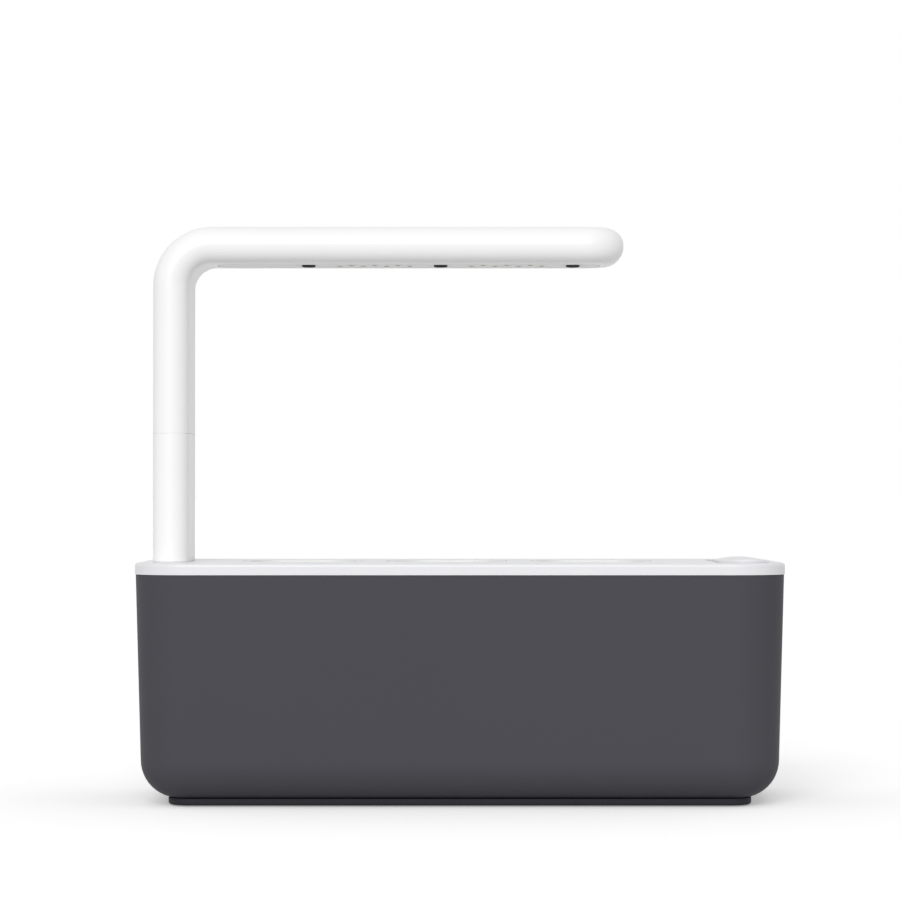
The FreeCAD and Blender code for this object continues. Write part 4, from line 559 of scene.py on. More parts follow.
class Solid:
    """A mesh in millimetres that grows from outlines by insets and extrusions."""

    def __init__(self) -> None:
        """Start with nothing."""
        self.bm = bmesh.new()

    def outline(self, size: Point, corner: float, center: Point, level: float,
                facets: int = 12) -> bmesh.types.BMFace:
        """Add a rounded rectangle as one face that points up.

        Args:
            size: Its width and depth.
            corner: Its corners' radius, or 0 for sharp corners.
            center: Its middle in X and Y.
            level: Its Z.
            facets: The facets of each corner.

        Returns:
            The face.
        """
        known = set(self.bm.faces)
        made = bmesh.ops.create_grid(self.bm, x_segments=1, y_segments=1, size=0.5)["verts"]
        bmesh.ops.scale(self.bm, vec=(*size, 1.0), verts=made)
        bmesh.ops.translate(self.bm, vec=(*center, level), verts=made)
        if corner:
            bmesh.ops.bevel(self.bm, geom=made, offset=corner, offset_type="OFFSET",
                            segments=facets, profile=0.5, affect="VERTICES", material=-1)
        return next(face for face in self.bm.faces if face not in known)

    def disc(self, radius: float, center: Point, level: float, facets: int = 40) -> bmesh.types.BMFace:
        """Add a round face that points up.

        Args:
            radius: Its radius.
            center: Its middle in X and Y.
            level: Its Z.
            facets: Its corners.

        Returns:
            The face.
        """
        place = Matrix.Translation((*center, level))
        made = bmesh.ops.create_circle(self.bm, cap_ends=True, segments=facets, radius=radius,
                                       matrix=place)["verts"]
        face = made[0].link_faces[0]
        if face.normal.z < 0:
            face.normal_flip()
        return face

    def walk(self, face: bmesh.types.BMFace, steps: Sequence[Step], down: bool = False,
             closed: bool = False) -> None:
        """Carry a face through steps and leave walls behind it.

        Args:
            face: A face that points up.
            steps: Pairs of the step inwards, negative for outwards, and the step along.
            down: True to count the steps along downwards.
            closed: True to leave a copy of the face where it starts.
        """
        if closed:
            bmesh.ops.duplicate(self.bm, geom=[face])
        for inward, along in steps:
            bmesh.ops.inset_region(self.bm, faces=[face], thickness=inward,
                                   depth=-along if down else along,
                                   use_even_offset=True, use_boundary=True)

    def drop(self, *faces: bmesh.types.BMFace) -> None:
        """Take faces away and leave their edges."""
        bmesh.ops.delete(self.bm, geom=list(faces), context="FACES_ONLY")

    def close(self, level: float) -> None:
        """Fill what lies between all open edges at one level.

        Args:
            level: Their Z.
        """
        self.weld()
        edges = [edge for edge in self.bm.edges if len(edge.link_faces) < 2
                 and all(abs(vert.co.z - level) < TOUCH for vert in edge.verts)]
        bmesh.ops.triangle_fill(self.bm, use_beauty=True, use_dissolve=False, edges=edges,
                                normal=(0.0, 0.0, 1.0))

    def weld(self) -> None:
        """Merge points that lie on each other."""
        bmesh.ops.remove_doubles(self.bm, verts=self.bm.verts, dist=TOUCH)

    def move(self, mapping: Callable[[Vector], Vector]) -> None:
        """Send each point to where a mapping puts it."""
        for vert in self.bm.verts:
            vert.co = mapping(vert.co)

    def piece(self, name: str, body: Body, finish: Finish, *nodes: str,
              sharp: float = 35.0) -> bpy.types.Object:
        """Write the mesh out as a finished piece.

        Args:
            name: The piece's name.
            body: The body that it rides on.
            finish: Its finish.
            nodes: The frame's nodes that it stands for.
            sharp: The angle in degrees from which an edge shows.

        Returns:
            The piece.
        """
        self.weld()
        bmesh.ops.recalc_face_normals(self.bm, faces=self.bm.faces)
        bmesh.ops.scale(self.bm, vec=(MM, MM, MM), verts=self.bm.verts)
        mesh = bpy.data.meshes.new(name)
        self.bm.to_mesh(mesh)
        self.bm.free()
        mesh.shade_smooth()
        mesh.set_sharp_from_angle(angle=math.radians(sharp))
        mesh.materials.append(finish.material())
        made = bpy.data.objects.new(name, mesh)
        bpy.context.scene.collection.objects.link(made)
        even = made.modifiers.new("even_shading", "WEIGHTED_NORMAL")
        even.keep_sharp = True
        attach(made, body.value)
        if nodes:
            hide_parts(*nodes)
        LOG.info("%s: %d faces, rides on %s", name, len(mesh.polygons), body.value)
        return made


def dress(finish: Finish, *nodes: str) -> None:
    """Give nodes of the frame a finish.

    Args:
        finish: The finish.
        nodes: The nodes' names.
    """
    for node in nodes:
        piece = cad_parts[node]
        piece.data.materials.clear()
        piece.data.materials.append(finish.material())
        LOG.info("%s: dressed as %s", node, finish.slot)


# The garden's sub-assemblies


@dataclass
class WaterTank:
    """The dark tank, the plinth that it stands on and four rubber pads, in millimetres."""

    width: float = 299.2
    depth: float = 124.2
    corner: float = 23.6
    rim: float = RIM_LEVEL
    rim_round: float = 0.45
    rim_angle: float = 50.0
    floor: float = 3.7
    lean: float = 2.9
    foot_round: float = 17.5
    wall: float = 2.2
    notch_x: float = INLET_X
    notch_width: float = 15.0
    notch_depth: float = 13.0
    plinth_size: Point = (269.0, 94.0)
    plinth_corner: float = 10.0
    plinth_round: float = 1.4
    plinth_wall: float = 2.4
    plinth_plate: float = 1.2
    pad_x: float = 118.5
    pad_y: float = 32.0
    pad_radius: float = 7.0
    pad_height: float = 1.5
    pad_stand: float = 0.5
    pad_fit: float = 0.15
    pad_edge: float = 0.25
    ring_inset: float = 2.2
    ring_width: float = 0.9
    ring_depth: float = 0.2

    @property
    def pad_places(self) -> list[Point]:
        """The X and Y of the four pads."""
        return [(x, y) for x in (-self.pad_x, self.pad_x) for y in (-self.pad_y, self.pad_y)]

    def build(self) -> None:
        """Make the tank, its plinth and its pads."""
        self._shell()
        self._plinth()
        self._pads()

    def _shell(self) -> None:
        """Make the open tank with its notch and its wall."""
        solid = Solid()
        face = solid.outline((self.width, self.depth), self.corner, MIDDLE, self.rim, facets=20)
        straight = self.rim - self.floor - self.foot_round
        share = straight / (self.rim - self.floor)
        solid.walk(face, [(self.lean * share, straight), *quarter(self.foot_round, facets=12)],
                   down=True)
        self._cut_notch(solid)
        made = solid.piece("tank_shell", Body.TANK, TANK_PLASTIC, "water_tank")
        thick = made.modifiers.new("wall", "SOLIDIFY")
        thick.thickness = self.wall * MM
        thick.offset = -1.0
        thick.use_even_offset = True
        rim = made.modifiers.new("rim_round", "BEVEL")
        rim.width = self.rim_round * MM
        rim.segments = 3
        rim.limit_method = "ANGLE"
        rim.angle_limit = math.radians(self.rim_angle)
        # The shading modifier, which is the first, goes behind the two that change the shape.
        made.modifiers.move(0, 2)

    def _cut_notch(self, solid: Solid) -> None:
        """Cut the notch for the power inlet out of the back wall's rim.

        Args:
            solid: The tank's outer skin.
        """
        half = self.notch_width / 2
        sill = self.rim - self.notch_depth
        across, up = (1, 0, 0), (0, 0, 1)
        cuts = (((self.notch_x - half, 0, 0), across), ((self.notch_x + half, 0, 0), across),
                ((0, 0, sill), up))
        for point, normal in cuts:
            wall = [face for face in solid.bm.faces if self._at_back(face)]
            edges = {edge for face in wall for edge in face.edges}
            verts = {vert for face in wall for vert in face.verts}
            bmesh.ops.bisect_plane(solid.bm, geom=[*wall, *edges, *verts], plane_co=point,
                                   plane_no=normal)
        gone = [face for face in solid.bm.faces if self._at_back(face)
                and abs(face.calc_center_median().x - self.notch_x) < half
                and face.calc_center_median().z > sill]
        bmesh.ops.delete(solid.bm, geom=gone, context="FACES")

    def _at_back(self, face: bmesh.types.BMFace) -> bool:
        """Tell whether a face belongs to the flat back wall.

        Args:
            face: A face of the outer skin.

        Returns:
            True if it does.
        """
        middle = face.calc_center_median()
        behind = middle.y > self.depth / 2 - self.lean
        above = middle.z > self.floor + self.foot_round
        return behind and above and abs(face.normal.x) < FLAT

    def _plinth(self) -> None:
        """Make the foot tray with its rounded foot, hollow from below."""
        solid = Solid()
        face = solid.outline(self.plinth_size, self.plinth_corner, MIDDLE, self.floor)
        height = self.floor - self.pad_stand
        solid.walk(face, [(0.0, height - self.plinth_round), *quarter(self.plinth_round, facets=6),
                          (self.plinth_wall - self.plinth_round, 0.0),
                          (0.0, self.plinth_plate - height)], down=True, closed=True)
        self._seats(solid)
        solid.piece("plinth", Body.TANK, PLINTH_PLASTIC, "base_plinth")

    def _seats(self, solid: Solid) -> None:
        """Add the round seat of each pad under the plinth's plate.

        Args:
            solid: The plinth's mesh.
        """
        top = self.floor - self.plinth_plate / 2
        for place in self.pad_places:
            seat = solid.disc(self.pad_radius + self.plinth_wall, place, top)
            solid.walk(seat, [(0.0, top - self.pad_stand), (self.plinth_wall - self.pad_fit, 0.0),
                              (0.0, self.pad_stand - self.pad_height)], down=True, closed=True)

    def _pads(self) -> None:
        """Make four pads, each with a moulded ring underneath."""
        solid = Solid()
        for place in self.pad_places:
            pad = solid.disc(self.pad_radius, place, self.pad_height, facets=48)
            solid.walk(pad, [(0.0, self.pad_height - self.pad_edge), *quarter(self.pad_edge, facets=3),
                             (self.ring_inset, 0.0), (self.ring_depth, -self.ring_depth),
                             (self.ring_width, 0.0), (self.ring_depth, self.ring_depth)],
                       down=True, closed=True)
        solid.piece("foot_pads", Body.TANK, BLACK_RUBBER, "rubber_feet")


@dataclass
class Lid:
    """The white lid with its cup seats, fill opening and post opening, in millimetres."""

    size: Point = (300.0, 125.0)
    corner: float = 24.0
    corner_facets: int = 20
    under: float = RIM_LEVEL
    top: float = LID_LEVEL
    edge: float = 1.6
    flare: float = 0.001
    wall: float = 2.5
    skirt_inset: float = 2.84
    skirt_wall: float = 1.4
    skirt_foot: float = 98.0
    seat_width: float = 56.6
    seat_corner: float = 18.3
    seat_drop: float = 1.2
    hole_width: float = 52.6
    collar_foot: float = 101.5
    collar_wall: float = 1.5
    fill_center: Point = (FLOAT_X, -3.0)
    fill_size: Point = (25.4, 98.0)
    fill_corner: float = 12.0
    post_center: Point = (POST_X, 0.0)
    post_size: Point = (13.2, 44.6)
    post_corner: float = 5.1
    lip: float = 0.4
    inlet_x: float = INLET_X
    inlet_level: float = 100.0
    tab_width: float = 14.2
    tab_foot: float = 94.0
    tab_depth: float = 4.7
    tab_back: float = 61.3
    tab_edge: Step = (0.1, 0.2)
    tab_bore: float = 4.15
    tab_lead: float = 0.2

    @property
    def ceiling(self) -> float:
        """The level of the plate's underside."""
        return self.top - self.wall

    def build(self) -> None:
        """Make the lid and dress what hangs under it."""
        self._cover()
        self._inlet_tab()
        dress(INNER_PLASTIC, "socket_housing", "socket_cover", "float_guide")
        dress(SCREW_STEEL, "socket_cover_screws")
        dress(BLACK_RUBBER, "socket_seal")
        dress(BLACK_PLASTIC, "contact_block", "dc_inlet")
        dress(CONTACT_BRASS, "contact_springs", "dc_inlet_pin")
        dress(WIRE_SHEATH, "inlet_wires")

    def _cover(self) -> None:
        """Make the plate, its rounded edge, its openings and the skirt that centres it."""
        solid = Solid()
        rim = (self.size, self.corner, MIDDLE, self.under, self.corner_facets)
        face = solid.outline(*rim)
        solid.walk(face, [(-self.flare, self.top - self.edge - self.under),
                          *quarter(self.edge, facets=8)])
        solid.drop(face)
        face = solid.outline(*rim)
        solid.walk(face, [(self.skirt_inset, 0.0), (0.0, self.under - self.skirt_foot),
                          (self.skirt_wall, 0.0), (0.0, self.skirt_foot - self.ceiling)], down=True)
        solid.drop(face)
        for spot in Spot:
            self._cup_seat(solid, spot.x)
        self._tube(solid, self.fill_center, self.fill_size, self.fill_corner)
        self._tube(solid, self.post_center, self.post_size, self.post_corner)
        solid.close(self.top)
        solid.close(self.ceiling)
        solid.piece("lid_plate", Body.LID, WHITE_PLASTIC, "lid_cover")

    def _cup_seat(self, solid: Solid, x: float) -> None:
        """Add the sunk seat and the collar of one cup.

        Args:
            solid: The lid's mesh.
            x: The cup's middle.
        """
        face = solid.outline((self.seat_width, self.seat_width), self.seat_corner, (x, 0.0), self.top)
        ledge = (self.seat_width - self.hole_width) / 2
        foot = self.top - self.seat_drop - self.collar_foot
        solid.walk(face, [(0.0, self.seat_drop), (ledge, 0.0), (0.0, foot), (-self.collar_wall, 0.0),
                          (0.0, self.collar_foot - self.ceiling)], down=True)
        solid.drop(face)

    def _tube(self, solid: Solid, center: Point, size: Point, corner: float) -> None:
        """Add a plain opening with a slightly rounded edge.

        Args:
            solid: The lid's mesh.
            center: The opening's middle.
            size: Its width and depth.
            corner: Its corners' radius.
        """
        wide = (size[0] + 2 * self.lip, size[1] + 2 * self.lip)
        face = solid.outline(wide, corner + self.lip, center, self.top, facets=14)
        solid.walk(face, [*quarter(self.lip, facets=3, mouth=True),
                          (0.0, self.top - self.lip - self.ceiling)], down=True)
        solid.drop(face)

    def _inlet_tab(self) -> None:
        """Make the tab that fills the tank's notch, bored for the power inlet's nose.

        It is built lying down, with its height along Y, and then stood up in the notch.
        """
        solid = Solid()
        height = self.under - self.tab_foot
        bore_y = self.inlet_level - (self.under + self.tab_foot) / 2
        tab = solid.outline((self.tab_width, height), 0.0, MIDDLE, 0.0)
        solid.walk(tab, [(0.0, self.tab_depth - sum(self.tab_edge)), self.tab_edge,
                         self.tab_edge[::-1]])
        bore = solid.disc(self.tab_bore + self.tab_lead, (0.0, bore_y), self.tab_depth)
        solid.walk(bore, [(self.tab_lead, self.tab_lead), (0.0, self.tab_depth - self.tab_lead)],
                   down=True)
        solid.drop(tab, bore)
        solid.close(self.tab_depth)
        solid.close(0.0)
        middle = Vector((self.inlet_x, self.tab_back - self.tab_depth, self.inlet_level - bore_y))
        solid.move(lambda point: middle + Vector((point.x, point.z, point.y)))
        solid.piece("inlet_tab", Body.LID, WHITE_PLASTIC)


@dataclass
class FloatLevel:
    """The crowned cap that rides on the water and shows its level, in millimetres."""

    center: Point = (FLOAT_X, -23.4)
    size: Point = (22.2, 54.0)
    corner: float = 10.4
    corner_facets: int = 16
    under: float = 109.2
    edge_level: float = 113.3
    edge: float = 0.9
    wall: float = 1.4
    crown: float = 42.0
    long_crown: float = 300.0
    crown_rings: int = 10
    ring_width: float = 0.93

    def build(self) -> None:
        """Make the cap and dress the stem and the block below it."""
        solid = Solid()
        rim = (self.size, self.corner, self.center, self.under, self.corner_facets)
        face = solid.outline(*rim)
        height = self.edge_level - self.under
        solid.walk(face, [(0.0, height - self.edge), *quarter(self.edge, facets=6),
                          *[(self.ring_width, 0.0)] * self.crown_rings])
        solid.move(self._arch)
        hollow = solid.outline(*rim)
        solid.walk(hollow, [(self.wall, 0.0), (0.0, height - self.wall)])
        solid.piece("float_top", Body.FLOAT, WHITE_PLASTIC, "float_cap", sharp=50.0)
        dress(INNER_PLASTIC, "float_stem", "float_block")

    def _arch(self, point: Vector) -> Vector:
        """Lift a point of the top by the cap's crown.

        Args:
            point: The point on the flat top or its rounded edge.

        Returns:
            The point on the arched top.
        """
        if point.z < (self.under + self.edge_level) / 2:
            return point
        across, along = point.x - self.center[0], point.y - self.center[1]
        sag = self.crown - math.sqrt(self.crown ** 2 - (self.size[0] / 2) ** 2)
        fall = self.crown - math.sqrt(self.crown ** 2 - across ** 2)
        reach = self.long_crown - fall
        lift = sag + math.sqrt(reach ** 2 - along ** 2) - self.long_crown
        return point + Vector((0.0, 0.0, lift))


@dataclass
class PlantCup:
    """One cup with its block of growing medium, paper cover and wick, in millimetres."""

    spot: Spot
    top: float = LID_LEVEL
    width: float = 52.0
    corner: float = 16.0
    depth: float = 50.0
    lean: float = 4.0
    wall: float = 1.2
    flange: float = 2.0
    flange_height: float = 1.2
    lip: float = 0.4
    foot_round: float = 1.2
    drain: float = 2.0
    drain_place: float = 13.0
    wick_slot: Point = (10.4, 2.4)
    plug_top: float = 106.5
    plug_width: float = 48.1
    plug_corner: float = 13.9
    plug_lean: float = 3.332
    plug_edge: Step = (0.4, 0.6)
    label_height: float = 0.5
    seed_hole: float = 7.0
    hole_facets: int = 56
    well_depth: float = 2.6
    well_margin: float = 1.0
    well_rings: int = 9
    well_core: float = 0.7
    crumbs: tuple[tuple[float, float], ...] = ((0.55, 0.9), (0.35, 2.1))

    @property
    def body(self) -> Body:
        """The body that the cup's pieces ride on."""
        return Body(f"pod_{self.spot.side}")

    @property
    def center(self) -> Point:
        """The cup's middle in X and Y."""
        return (self.spot.x, 0.0)

    def build(self) -> None:
        """Make the cup, its medium and its cover, and dress the wick."""
        self._cup()
        self._medium()
        self._cover()
        dress(WICK_FELT, f"wick_{self.spot.side}")

    def _cup(self) -> None:
        """Make the flanged, tapered cup with drain holes and the wick's slot."""
        solid = Solid()
        foot = self.top - self.depth
        floor = foot + self.wall
        under = self.top - self.flange_height
        wide = self.width + 2 * self.flange
        slope = self.lean / self.depth
        fall = under - foot - self.foot_round
        deep = self.depth - self.wall - self.lip
        rim = ((wide, wide), self.corner + self.flange, self.center, under)
        outer = solid.outline(*rim)
        solid.walk(outer, [(self.flange, 0.0), (slope * fall, fall),
                           *quarter(self.foot_round, facets=4)], down=True)
        inner = solid.outline(*rim)
        solid.walk(inner, [(0.0, self.flange_height - self.lip), *quarter(self.lip, facets=3),
                           (self.flange + self.wall - 2 * self.lip, 0.0)])
        solid.walk(inner, [*quarter(self.lip, facets=3, mouth=True), (slope * deep, deep)], down=True)
        solid.drop(outer, inner)
        holes = [solid.outline(self.wick_slot, 0.0, self.center, floor)]
        for x, y in ((-1, -1), (1, -1), (1, 1), (-1, 1)):
            place = (self.center[0] + x * self.drain_place, y * self.drain_place)
            holes.append(solid.disc(self.drain, place, floor, facets=20))
        for hole in holes:
            solid.walk(hole, [(0.0, self.wall)], down=True)
        solid.drop(*holes)
        solid.close(foot)
        solid.close(floor)
        side = self.spot.side
        solid.piece(f"cup_{side}", self.body, CUP_PLASTIC, f"plant_cup_{side}")

    def _medium(self) -> None:
        """Make the block of growing medium, crumbly round the seed well."""
        solid = Solid()
        height = self.plug_top - self.top + self.depth - self.wall
        block = solid.outline((self.plug_width, self.plug_width), self.plug_corner, self.center,
                              self.plug_top)
        solid.walk(block, [(self.plug_lean, height - sum(self.plug_edge)), self.plug_edge,
                           self.plug_edge[::-1]], down=True)
        radius = self.seed_hole + self.well_margin
        well = solid.disc(radius, self.center, self.plug_top, self.hole_facets)
        # The innermost disc keeps what is left of a ring.
        ring = radius / (self.well_rings + self.well_core)
        solid.walk(well, [(ring, 0.0)] * self.well_rings)
        solid.close(self.plug_top)
        solid.move(self._crumble)
        side = self.spot.side
        solid.piece(f"medium_{side}", self.body, GROW_MEDIUM, f"grow_plug_{side}", sharp=180.0)

    def _crumble(self, point: Vector) -> Vector:
        """Sink the seed well and roughen its surface.

        Args:
            point: A point of the block.

        Returns:
            Where the point goes.
        """
        away = math.hypot(point.x - self.spot.x, point.y)
        if point.z < self.plug_top - TOUCH or away > self.seed_hole:
            return point
        bowl = self.well_depth * (1.0 - (away / self.seed_hole) ** 2) ** 2
        crumbs = sum(height * noise.noise(point * pace) for height, pace in self.crumbs)
        return point - Vector((0.0, 0.0, bowl + abs(crumbs)))

    def _cover(self) -> None:
        """Make the paper cover with its round seed hole."""
        solid = Solid()
        top = self.plug_top + self.label_height
        sheet = solid.outline((self.plug_width, self.plug_width), self.plug_corner, self.center,
                              self.plug_top)
        solid.walk(sheet, [(0.0, self.label_height)])
        hole = solid.disc(self.seed_hole, self.center, top, self.hole_facets)
        solid.walk(hole, [(0.0, self.label_height)], down=True)
        solid.drop(sheet, hole)
        solid.close(top)
        solid.close(self.plug_top)
        side = self.spot.side
        solid.piece(f"cover_{side}", self.body, LABEL_PAPER, f"cup_label_{side}")


@dataclass(frozen=True)
class Spigot:
    """The hollow plug-in foot of a length of the post, round its pin carrier, in millimetres."""

    foot: float
    size: Point = (12.6, 44.0)
    corner: float = 4.8
    wall: float = 1.6
    lead: float = 0.6
    carrier: float = 5.0
    bite: float = 1.0

    def add(self, solid: Solid, x: float, shell_foot: float) -> None:
        """Add the spigot below a shell.

        Args:
            solid: The shell's mesh.
            x: The shell's middle.
            shell_foot: The level of the shell's foot, which the spigot bites into.
        """
        start = self.foot + self.lead
        rim = (self.size, self.corner, (x, 0.0), start)
        solid.walk(solid.outline(*rim), [(0.0, shell_foot + self.bite - start)])
        solid.walk(solid.outline(*rim), [(self.lead / 2, self.lead), (self.wall - self.lead / 2, 0.0),
                                         (0.0, -self.carrier)], down=True)


@dataclass
class PostExtension:
    """The lower length of the post, with a spigot below and a socket above, in millimetres."""

    center: Point = (POST_X, 0.0)
    size: Point = (17.0, 52.0)
    corner: float = 8.2
    corner_facets: int = 14
    low: float = LID_LEVEL
    high: float = SEAM_LEVEL
    edge: float = 0.3
    spigot: Spigot = Spigot(foot=84.5)
    well_fit: float = 0.3
    well_floor: float = 144.2

    def build(self) -> None:
        """Make the shell and dress the plug, pins, contacts and leads."""
        solid = Solid()
        start = self.low + self.edge
        rim = (self.size, self.corner, self.center, start, self.corner_facets)
        rounded = quarter(self.edge, facets=3)
        solid.walk(solid.outline(*rim), rounded, down=True)
        upper = solid.outline(*rim)
        solid.walk(upper, [(0.0, self.high - self.edge - start), *rounded])
        wide = tuple(length + 2 * self.well_fit for length in self.spigot.size)
        well = solid.outline(wide, self.spigot.corner + self.well_fit, self.center, self.high)
        solid.walk(well, [(0.0, self.high - self.well_floor)], down=True)
        solid.drop(upper)
        solid.close(self.high)
        self.spigot.add(solid, self.center[0], self.low)
        solid.piece("post_lower", Body.EXTENSION, ARM_PLASTIC, "extension_shell")
        dress(BLACK_PLASTIC, "extension_plug", "extension_socket")
        dress(CONTACT_BRASS, "extension_pins", "extension_springs")
        dress(WIRE_SHEATH, "extension_wires")


@dataclass
class LampArm:
    """The bent arm, its lamp panel and what lies behind it, in millimetres."""

    post_x: float = POST_X
    thickness: float = 17.0
    depth: float = 52.0
    edge: float = 8.2
    corner_facets: int = 14
    tip_corner: float = 18.0
    tip_x: float = 77.2
    seam: float = SEAM_LEVEL
    top: float = 268.7
    bend: float = 19.0
    bend_facets: int = 28
    spigot: Spigot = Spigot(foot=144.5)
    panel_center: Point = (-24.0, 0.0)
    panel_size: Point = (180.0, 32.0)
    panel_corner: float = 14.0
    panel_height: float = 1.5
    panel_edge: float = 0.3
    panel_fit: float = 0.3
    gasket: float = 0.5
    ledge: float = 2.0
    cavity: float = 11.0
    screw_xs: tuple[float, ...] = (-71.45, -8.95, 53.55)
    dish: float = 6.8
    dish_depth: float = 0.4
    dish_lip: Step = (0.3, 0.05)
    dish_land: float = 1.3
    dish_facets: int = 56
    bore: float = 3.35
    plug: float = 3.2
    plug_stand: float = 0.8
    plug_bite: float = 1.9
    plug_edge: float = 0.35
    plug_crown: tuple[Step, ...] = ((0.9, 0.1), (1.0, 0.05))
    lamp_xs: tuple[float, ...] = (-40.22, 22.32)
    lamp_each_side: int = 3
    lamp_pitch: float = 5.54
    lamp_zigzag: float = 2.75
    lamp_base: float = 1.7
    lamp_base_height: float = 0.7
    lamp_edge: float = 0.1
    lamp_facets: int = 24
    lens: float = 1.35
    lens_side: Step = (0.02, 0.3)
    lens_round: float = 0.8
    window: float = 2.1
    window_lead: float = 0.25
    window_facets: int = 28

    @property
    def middle(self) -> float:
        """The level of the straight arm's centreline."""
        return self.top - self.thickness / 2

    @property
    def under(self) -> float:
        """The level of the straight arm's underside."""
        return self.top - self.thickness

    @property
    def upright(self) -> float:
        """The straight length from the seam to the bend."""
        return self.middle - self.bend - self.seam

    @property
    def turn_end(self) -> float:
        """How far along its centreline the arm is straight again."""
        return self.upright + self.bend * math.pi / 2

    @property
    def lamp_places(self) -> list[Point]:
        """The X and Y of each lamp, in two zigzag groups."""
        steps = range(-self.lamp_each_side, self.lamp_each_side + 1)
        return [(middle + k * self.lamp_pitch, self.lamp_zigzag if k % 2 else -self.lamp_zigzag)
                for middle in self.lamp_xs for k in steps]

    def build(self) -> None:
        """Make the arm and its panel and dress the electrical pieces."""
        self._shell()
        self._panel()
        self._plugs()
        self._lamps()
        dress(BLACK_PLASTIC, "lamp_plug", "driver_parts")
        dress(CONTACT_BRASS, "lamp_pins")
        dress(BLACK_RUBBER, "panel_gasket")
        dress(BOARD_WHITE, "led_board")
        dress(BOARD_GREEN, "driver_board")
        dress(SPREADER_ALUMINIUM, "heat_spreader")
        dress(SCREW_STEEL, "panel_screws")
        dress(WIRE_SHEATH, "lamp_wires")

    def _shell(self) -> None:
        """Make a straight bar with a rounded tip, open it for the panel and bend it."""
        solid = Solid()
        tip = self.turn_end + self.tip_x - self.post_x - self.bend
        spare = 2 * self.tip_corner
        size = (tip + spare, self.depth)
        center = ((tip - spare) / 2, 0.0)
        rounds = [(0.0, self.thickness / 2 - self.edge), *quarter(self.edge, facets=10)]
        for down in (False, True):
            face = solid.outline(size, self.tip_corner, center, 0.0, self.corner_facets)
            solid.walk(face, rounds, down=down)
        solid.weld()
        self._slice(solid, 0.0, clear=True)
        for k in range(self.bend_facets + 1):
            share = k / self.bend_facets
            self._slice(solid, self.upright + share * (self.turn_end - self.upright))
        self._open_panel(solid)
        solid.move(self._bent)
        self.spigot.add(solid, self.post_x, self.seam)
        solid.piece("arm", Body.LAMP_ARM, ARM_PLASTIC, "arm_shell")

    def _slice(self, solid: Solid, place: float, clear: bool = False) -> None:
        """Cut the straight bar across.

        Args:
            solid: The bar.
            place: How far along it the cut lies.
            clear: True to take what lies before the cut away and close the end.
        """
        geom = [*solid.bm.verts, *solid.bm.edges, *solid.bm.faces]
        cut = bmesh.ops.bisect_plane(solid.bm, geom=geom, plane_co=(place, 0, 0), plane_no=(1, 0, 0),
                                     clear_inner=clear)["geom_cut"]
        if clear:
            edges = [item for item in cut if isinstance(item, bmesh.types.BMEdge)]
            bmesh.ops.holes_fill(solid.bm, edges=edges, sides=0)

    def _open_panel(self, solid: Solid) -> None:
        """Sink the panel's rebate, ledge and cavity into the bar's underside.

        Args:
            solid: The bar, with its underside down.
        """
        level = -self.thickness / 2
        flat = [face for face in solid.bm.faces if abs(face.normal.z) > 1.0 - FLAT
                and abs(face.calc_center_median().z - level) < TOUCH
                and face.calc_center_median().x > self.turn_end]
        solid.drop(*flat)
        shift = self.turn_end - self.post_x - self.bend
        center = (self.panel_center[0] + shift, 0.0)
        size = tuple(length + 2 * self.panel_fit for length in self.panel_size)
        face = solid.outline(size, self.panel_corner + self.panel_fit, center, level,
                             self.corner_facets)
        solid.walk(face, [(0.0, self.panel_height + self.gasket), (self.ledge + self.panel_fit, 0.0),
                          (0.0, self.cavity)])
        solid.close(level)

    def _bent(self, point: Vector) -> Vector:
        """Send a point of the straight bar to its place on the post, bend or arm.

        Args:
            point: X along the centreline, Z from it.

        Returns:
            The point's place in the garden.
        """
        along = point.x
        if along <= self.upright:
            return Vector((self.post_x - point.z, point.y, self.seam + along))
        if along >= self.turn_end:
            start = self.post_x + self.bend
            return Vector((start + along - self.turn_end, point.y, self.middle + point.z))
        angle = (along - self.upright) / self.bend
        radius = self.bend + point.z
        return Vector((self.post_x + self.bend - radius * math.cos(angle), point.y,
                       self.middle - self.bend + radius * math.sin(angle)))

    def _hang(self, point: Vector) -> Vector:
        """Turn a point that was built face up about the arm's underside, to hang face down."""
        return Vector((point.x, point.y, self.under - point.z))

    def _panel(self) -> None:
        """Make the panel with its dishes, bores and lamp windows."""
        solid = Solid()
        back = -self.panel_height
        face = solid.outline(self.panel_size, self.panel_corner, self.panel_center, back,
                             self.corner_facets)
        solid.walk(face, [(0.0, self.panel_height - self.panel_edge),
                          *quarter(self.panel_edge, facets=3)])
        solid.drop(face)
        slope = (self.dish - self.bore - self.dish_lip[0] - self.dish_land,
                 self.dish_depth - self.dish_lip[1])
        for x in self.screw_xs:
            dish = solid.disc(self.dish, (x, 0.0), 0.0, self.dish_facets)
            solid.walk(dish, [self.dish_lip, slope, (self.dish_land, 0.0),
                              (0.0, self.panel_height - self.dish_depth)], down=True)
            solid.drop(dish)
        for place in self.lamp_places:
            hole = solid.disc(self.window + self.window_lead, place, 0.0, self.window_facets)
            solid.walk(hole, [*quarter(self.window_lead, facets=2, mouth=True),
                              (0.0, self.panel_height - self.window_lead)], down=True)
            solid.drop(hole)
        solid.close(0.0)
        solid.close(back)
        solid.move(self._hang)
        solid.piece("lamp_panel", Body.LAMP_ARM, PANEL_PLASTIC, "led_cover")

